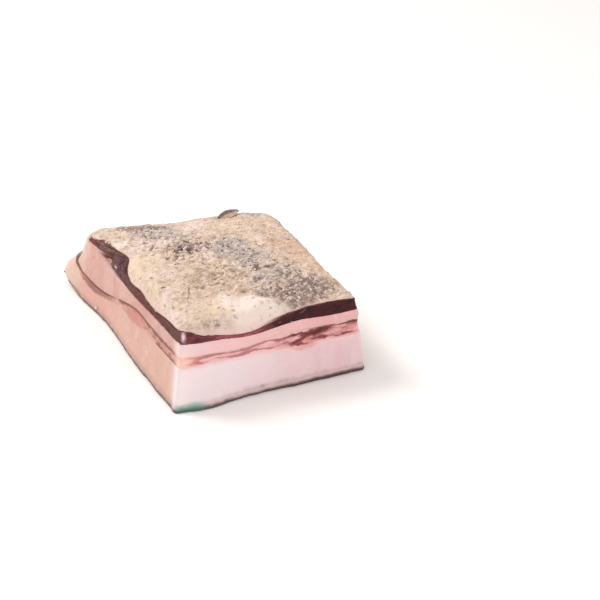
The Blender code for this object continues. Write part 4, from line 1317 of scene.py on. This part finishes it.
def add_grains(grid):
    """The largest grains, then cracked pepper, salt and crumbs of fat on the crust, one piece of each."""
    draw = np.random.default_rng(SEED + 3)
    radii = draw.uniform(*GRAIN_RADIUS, GRAINS)
    places = grain_places(np.random.default_rng(SEED + 3), grid)
    made = plain_paint("salted lumps", (0.46, 0.33, 0.27), (0.82, 0.70, 0.62), 0.0016, 0.55, 0.15)
    add_chips("grains", "fat_cap", places, radii, (0.75, 1.15), made, draw)
    kinds = (
        ("pepper", 340, (0.00045, 0.00115), (0.35, 0.7), pepper_chance, 0.0,
         plain_paint("cracked pepper", (0.140, 0.098, 0.084), (0.29, 0.205, 0.175), 0.0008, 0.6)),
        ("salt", 260, (0.00045, 0.00110), (0.7, 1.0), salt_chance, -0.1,
         plain_paint("coarse salt", (0.56, 0.430, 0.370), (0.78, 0.660, 0.590), 0.0010, 0.5, 0.2)),
        ("crumbs", 560, (0.0008, 0.0018), (0.5, 0.9), salt_chance, -0.25,
         plain_paint("fat crumbs", (0.58, 0.435, 0.345), (0.78, 0.635, 0.535), 0.0014, 0.6, 0.1)),
    )
    for number, (name, count, sizes, flatness, chance, lift, made) in enumerate(kinds):
        draw = np.random.default_rng(SEED + 100 + number)
        radii = sizes[0] + (sizes[1] - sizes[0]) * draw.random(count) ** 2
        places = crust_places(draw, count, chance, lift, radii, grid)
        add_chips(name, "fat_cap", places, radii, flatness, made, draw)


def add_side_bits():
    """Crumbs of fat that stick to the left cut, and the dark speck at its far end."""
    draw = np.random.default_rng(SEED + 120)
    kinds = (
        ("side_crumbs", SIDE_CRUMBS, (0.7, 1.0),
         plain_paint("side crumbs", (0.74, 0.62, 0.52), (0.90, 0.82, 0.75), 0.0009, 0.55, 0.1)),
        ("side_speck", (DARK_SPECK,), (0.5, 0.8),
         plain_paint("side speck", (0.050, 0.030, 0.025), (0.12, 0.07, 0.05), 0.0006, 0.6)),
    )
    for name, bits, flatness, made in kinds:
        bits = np.array(bits)
        add_chips(name, "fat_back", bits[:, :3], bits[:, 3], flatness, made, draw)


def add_scrap():
    """The dried scrap at the crust's back edge: wavy flat ovals along an arched line, closed at both ends."""
    start, end = np.array(SCRAP_FROM), np.array(SCRAP_TO)
    along = (end - start) / np.linalg.norm(end - start)
    flat_way = np.cross((0.0, 0.0, 1.0), along)
    thin_way = np.cross(along, flat_way)
    share = np.linspace(0.0, 1.0, SCRAP_STEPS + 1)[1:-1, None, None]
    angle = (np.arange(SCRAP_SIDES) * math.tau / SCRAP_SIDES)[None, :, None]
    arch = np.sin(math.pi * share)
    breadth = np.sqrt(np.sin(math.pi * share**1.4))
    centre = start + share * (end - start) + arch * SCRAP_ARCH * thin_way
    oval = np.cos(angle) * SCRAP_WIDTH * flat_way + np.sin(angle) * SCRAP_THICKNESS * thin_way
    droop = SCRAP_DROOP * arch * np.maximum(-np.cos(angle), 0.0) ** 2
    rows = centre + breadth * oval - droop * thin_way
    rows = rows + thin_way * (SCRAP_WAVE * clouds(rows, SCRAP_WAVE_SIZE, 110))[..., None]
    points = np.concatenate([rows.reshape(-1, 3), start[None], end[None]])
    rim = np.maximum(ease(-0.70, -0.40, np.cos(angle)), ease(0.85, 0.97, share))[..., 0]
    foot = np.maximum(ease(0.86, 0.98, -np.cos(angle)), fade(0.05, 0.35, share))[..., 0]
    marks = {title: np.append(values.ravel(), (1.0, 1.0)) for title, values in (("rim", rim), ("foot", foot))}
    dress(mesh_object("scrap", points, tube_faces(len(rows), SCRAP_SIDES), scrap_paint(), marks), "fat_cap")


def add_layers():
    """The four layers under the crust, each in place of its solid."""
    ring = outline(COLUMNS)
    place = raised(ring, BACK_ROUND_Z)
    lean_ring = shrink(ring, swell(place[..., 0], place[..., 1], (NOTCH,)))
    groove = (GROOVE_Z + GROOVE_MARGIN) / FAT_BACK_TOP["near"]
    foot_rows = np.linspace(0.0, groove, FOOT_ROWS + 1)[:-1]
    back_rows = np.concatenate([foot_rows, np.linspace(groove, 1.0, FAT_ROWS + 1)])
    streak_rows, band_rows, lean_rows = (np.linspace(0.0, 1.0, rows + 1)
                                         for rows in (STREAK_ROWS, BAND_ROWS, LEAN_ROWS))
    band_ledge = np.linspace(0.0, LEAN_LEDGE / 2.0, BAND_LEDGE_RINGS + 1)[1:]
    lean_ledge = np.linspace(0.0, LEAN_LEDGE, LEDGE_RINGS + 1)[1:]
    layers = (
        ("fat_back", ring, ground, fat_back_top, back_rows, fat_back_out, fat_back_paint, fat_marks, ()),
        ("lean_streak", ring, fat_back_top, streak_top, streak_rows, streak_out, streak_paint,
         streak_marks, ()),
        ("fat_middle", ring, streak_top, fat_middle_top, band_rows, fat_middle_out, fat_middle_paint,
         middle_marks, band_ledge),
        ("lean_top", lean_ring, fat_middle_top, lean_top, lean_rows, lean_out, lean_paint, lean_marks,
         lean_ledge),
    )
    for node, edge, low, high, share, out, paint, marks, ledge in layers:
        skin = layer_skin(node + "_skin", edge, low, high, share, out, paint(), marks, ledge)
        dress(skin, node, node)


def add_crust():
    """The crust in place of its solid, with the scrap and the grains that belong to it."""
    grid = crust_grid()
    points, faces = crust_skin(grid)
    marks = crust_marks(grid, len(points) - grid.inset.size)
    dress(mesh_object("crust", points, faces, crust_paint(), marks, sharp=60.0), "fat_cap", "fat_cap")
    add_scrap()
    add_grains(grid)


def add_floor():
    """A plain pale floor, flat under the slab."""
    mesh = bpy.data.meshes.new("floor")
    corners = [(x * FLOOR, y * FLOOR, 0.0) for x, y in ((-1, -1), (1, -1), (1, 1), (-1, 1))]
    mesh.from_pydata(corners, [], [(0, 1, 2, 3)])
    mesh.materials.append(Paint("pale floor", (0.94, 0.898, 0.872)).finish(0.7, shine=0.1))
    floor = bpy.data.objects.new("floor", mesh)
    bpy.context.scene.collection.objects.link(floor)


def add_lights():
    """White surroundings and two broad soft lamps: one above, to the left and behind, and a weaker one in
    front. Each looks at the middle of the floor."""
    world = bpy.data.worlds.new("studio")
    world.use_nodes = True
    world.node_tree.nodes["Background"].inputs["Color"].default_value = (1.0, 1.0, 1.0, 1.0)
    world.node_tree.nodes["Background"].inputs["Strength"].default_value = SURROUNDINGS
    bpy.context.scene.world = world
    for name, place, size, power in LAMPS:
        light = bpy.data.lights.new(name, "AREA")
        light.size = size
        light.energy = power
        lamp = bpy.data.objects.new(name, light)
        lamp.location = place
        lamp.rotation_euler = Vector(place).to_track_quat("Z", "Y").to_euler()
        bpy.context.scene.collection.objects.link(lamp)


def add_camera():
    """The camera at its distance back from the point it looks at, by its azimuth and elevation."""
    back = Vector((math.sin(AZIMUTH) * math.cos(ELEVATION), -math.cos(AZIMUTH) * math.cos(ELEVATION),
                   math.sin(ELEVATION)))
    lens = bpy.data.cameras.new("camera")
    lens.lens = LENS
    lens.sensor_width = SENSOR
    camera = bpy.data.objects.new("camera", lens)
    camera.location = Vector((*LOOKED_AT, 0.0)) + Vector(CORNER) + back * DISTANCE
    camera.rotation_euler = back.to_track_quat("Z", "Y").to_euler()
    bpy.context.scene.collection.objects.link(camera)
    bpy.context.scene.camera = camera
    bpy.context.scene.view_settings.view_transform = "Standard"


add_layers()
add_crust()
add_side_bits()
add_floor()
add_lights()
add_camera()
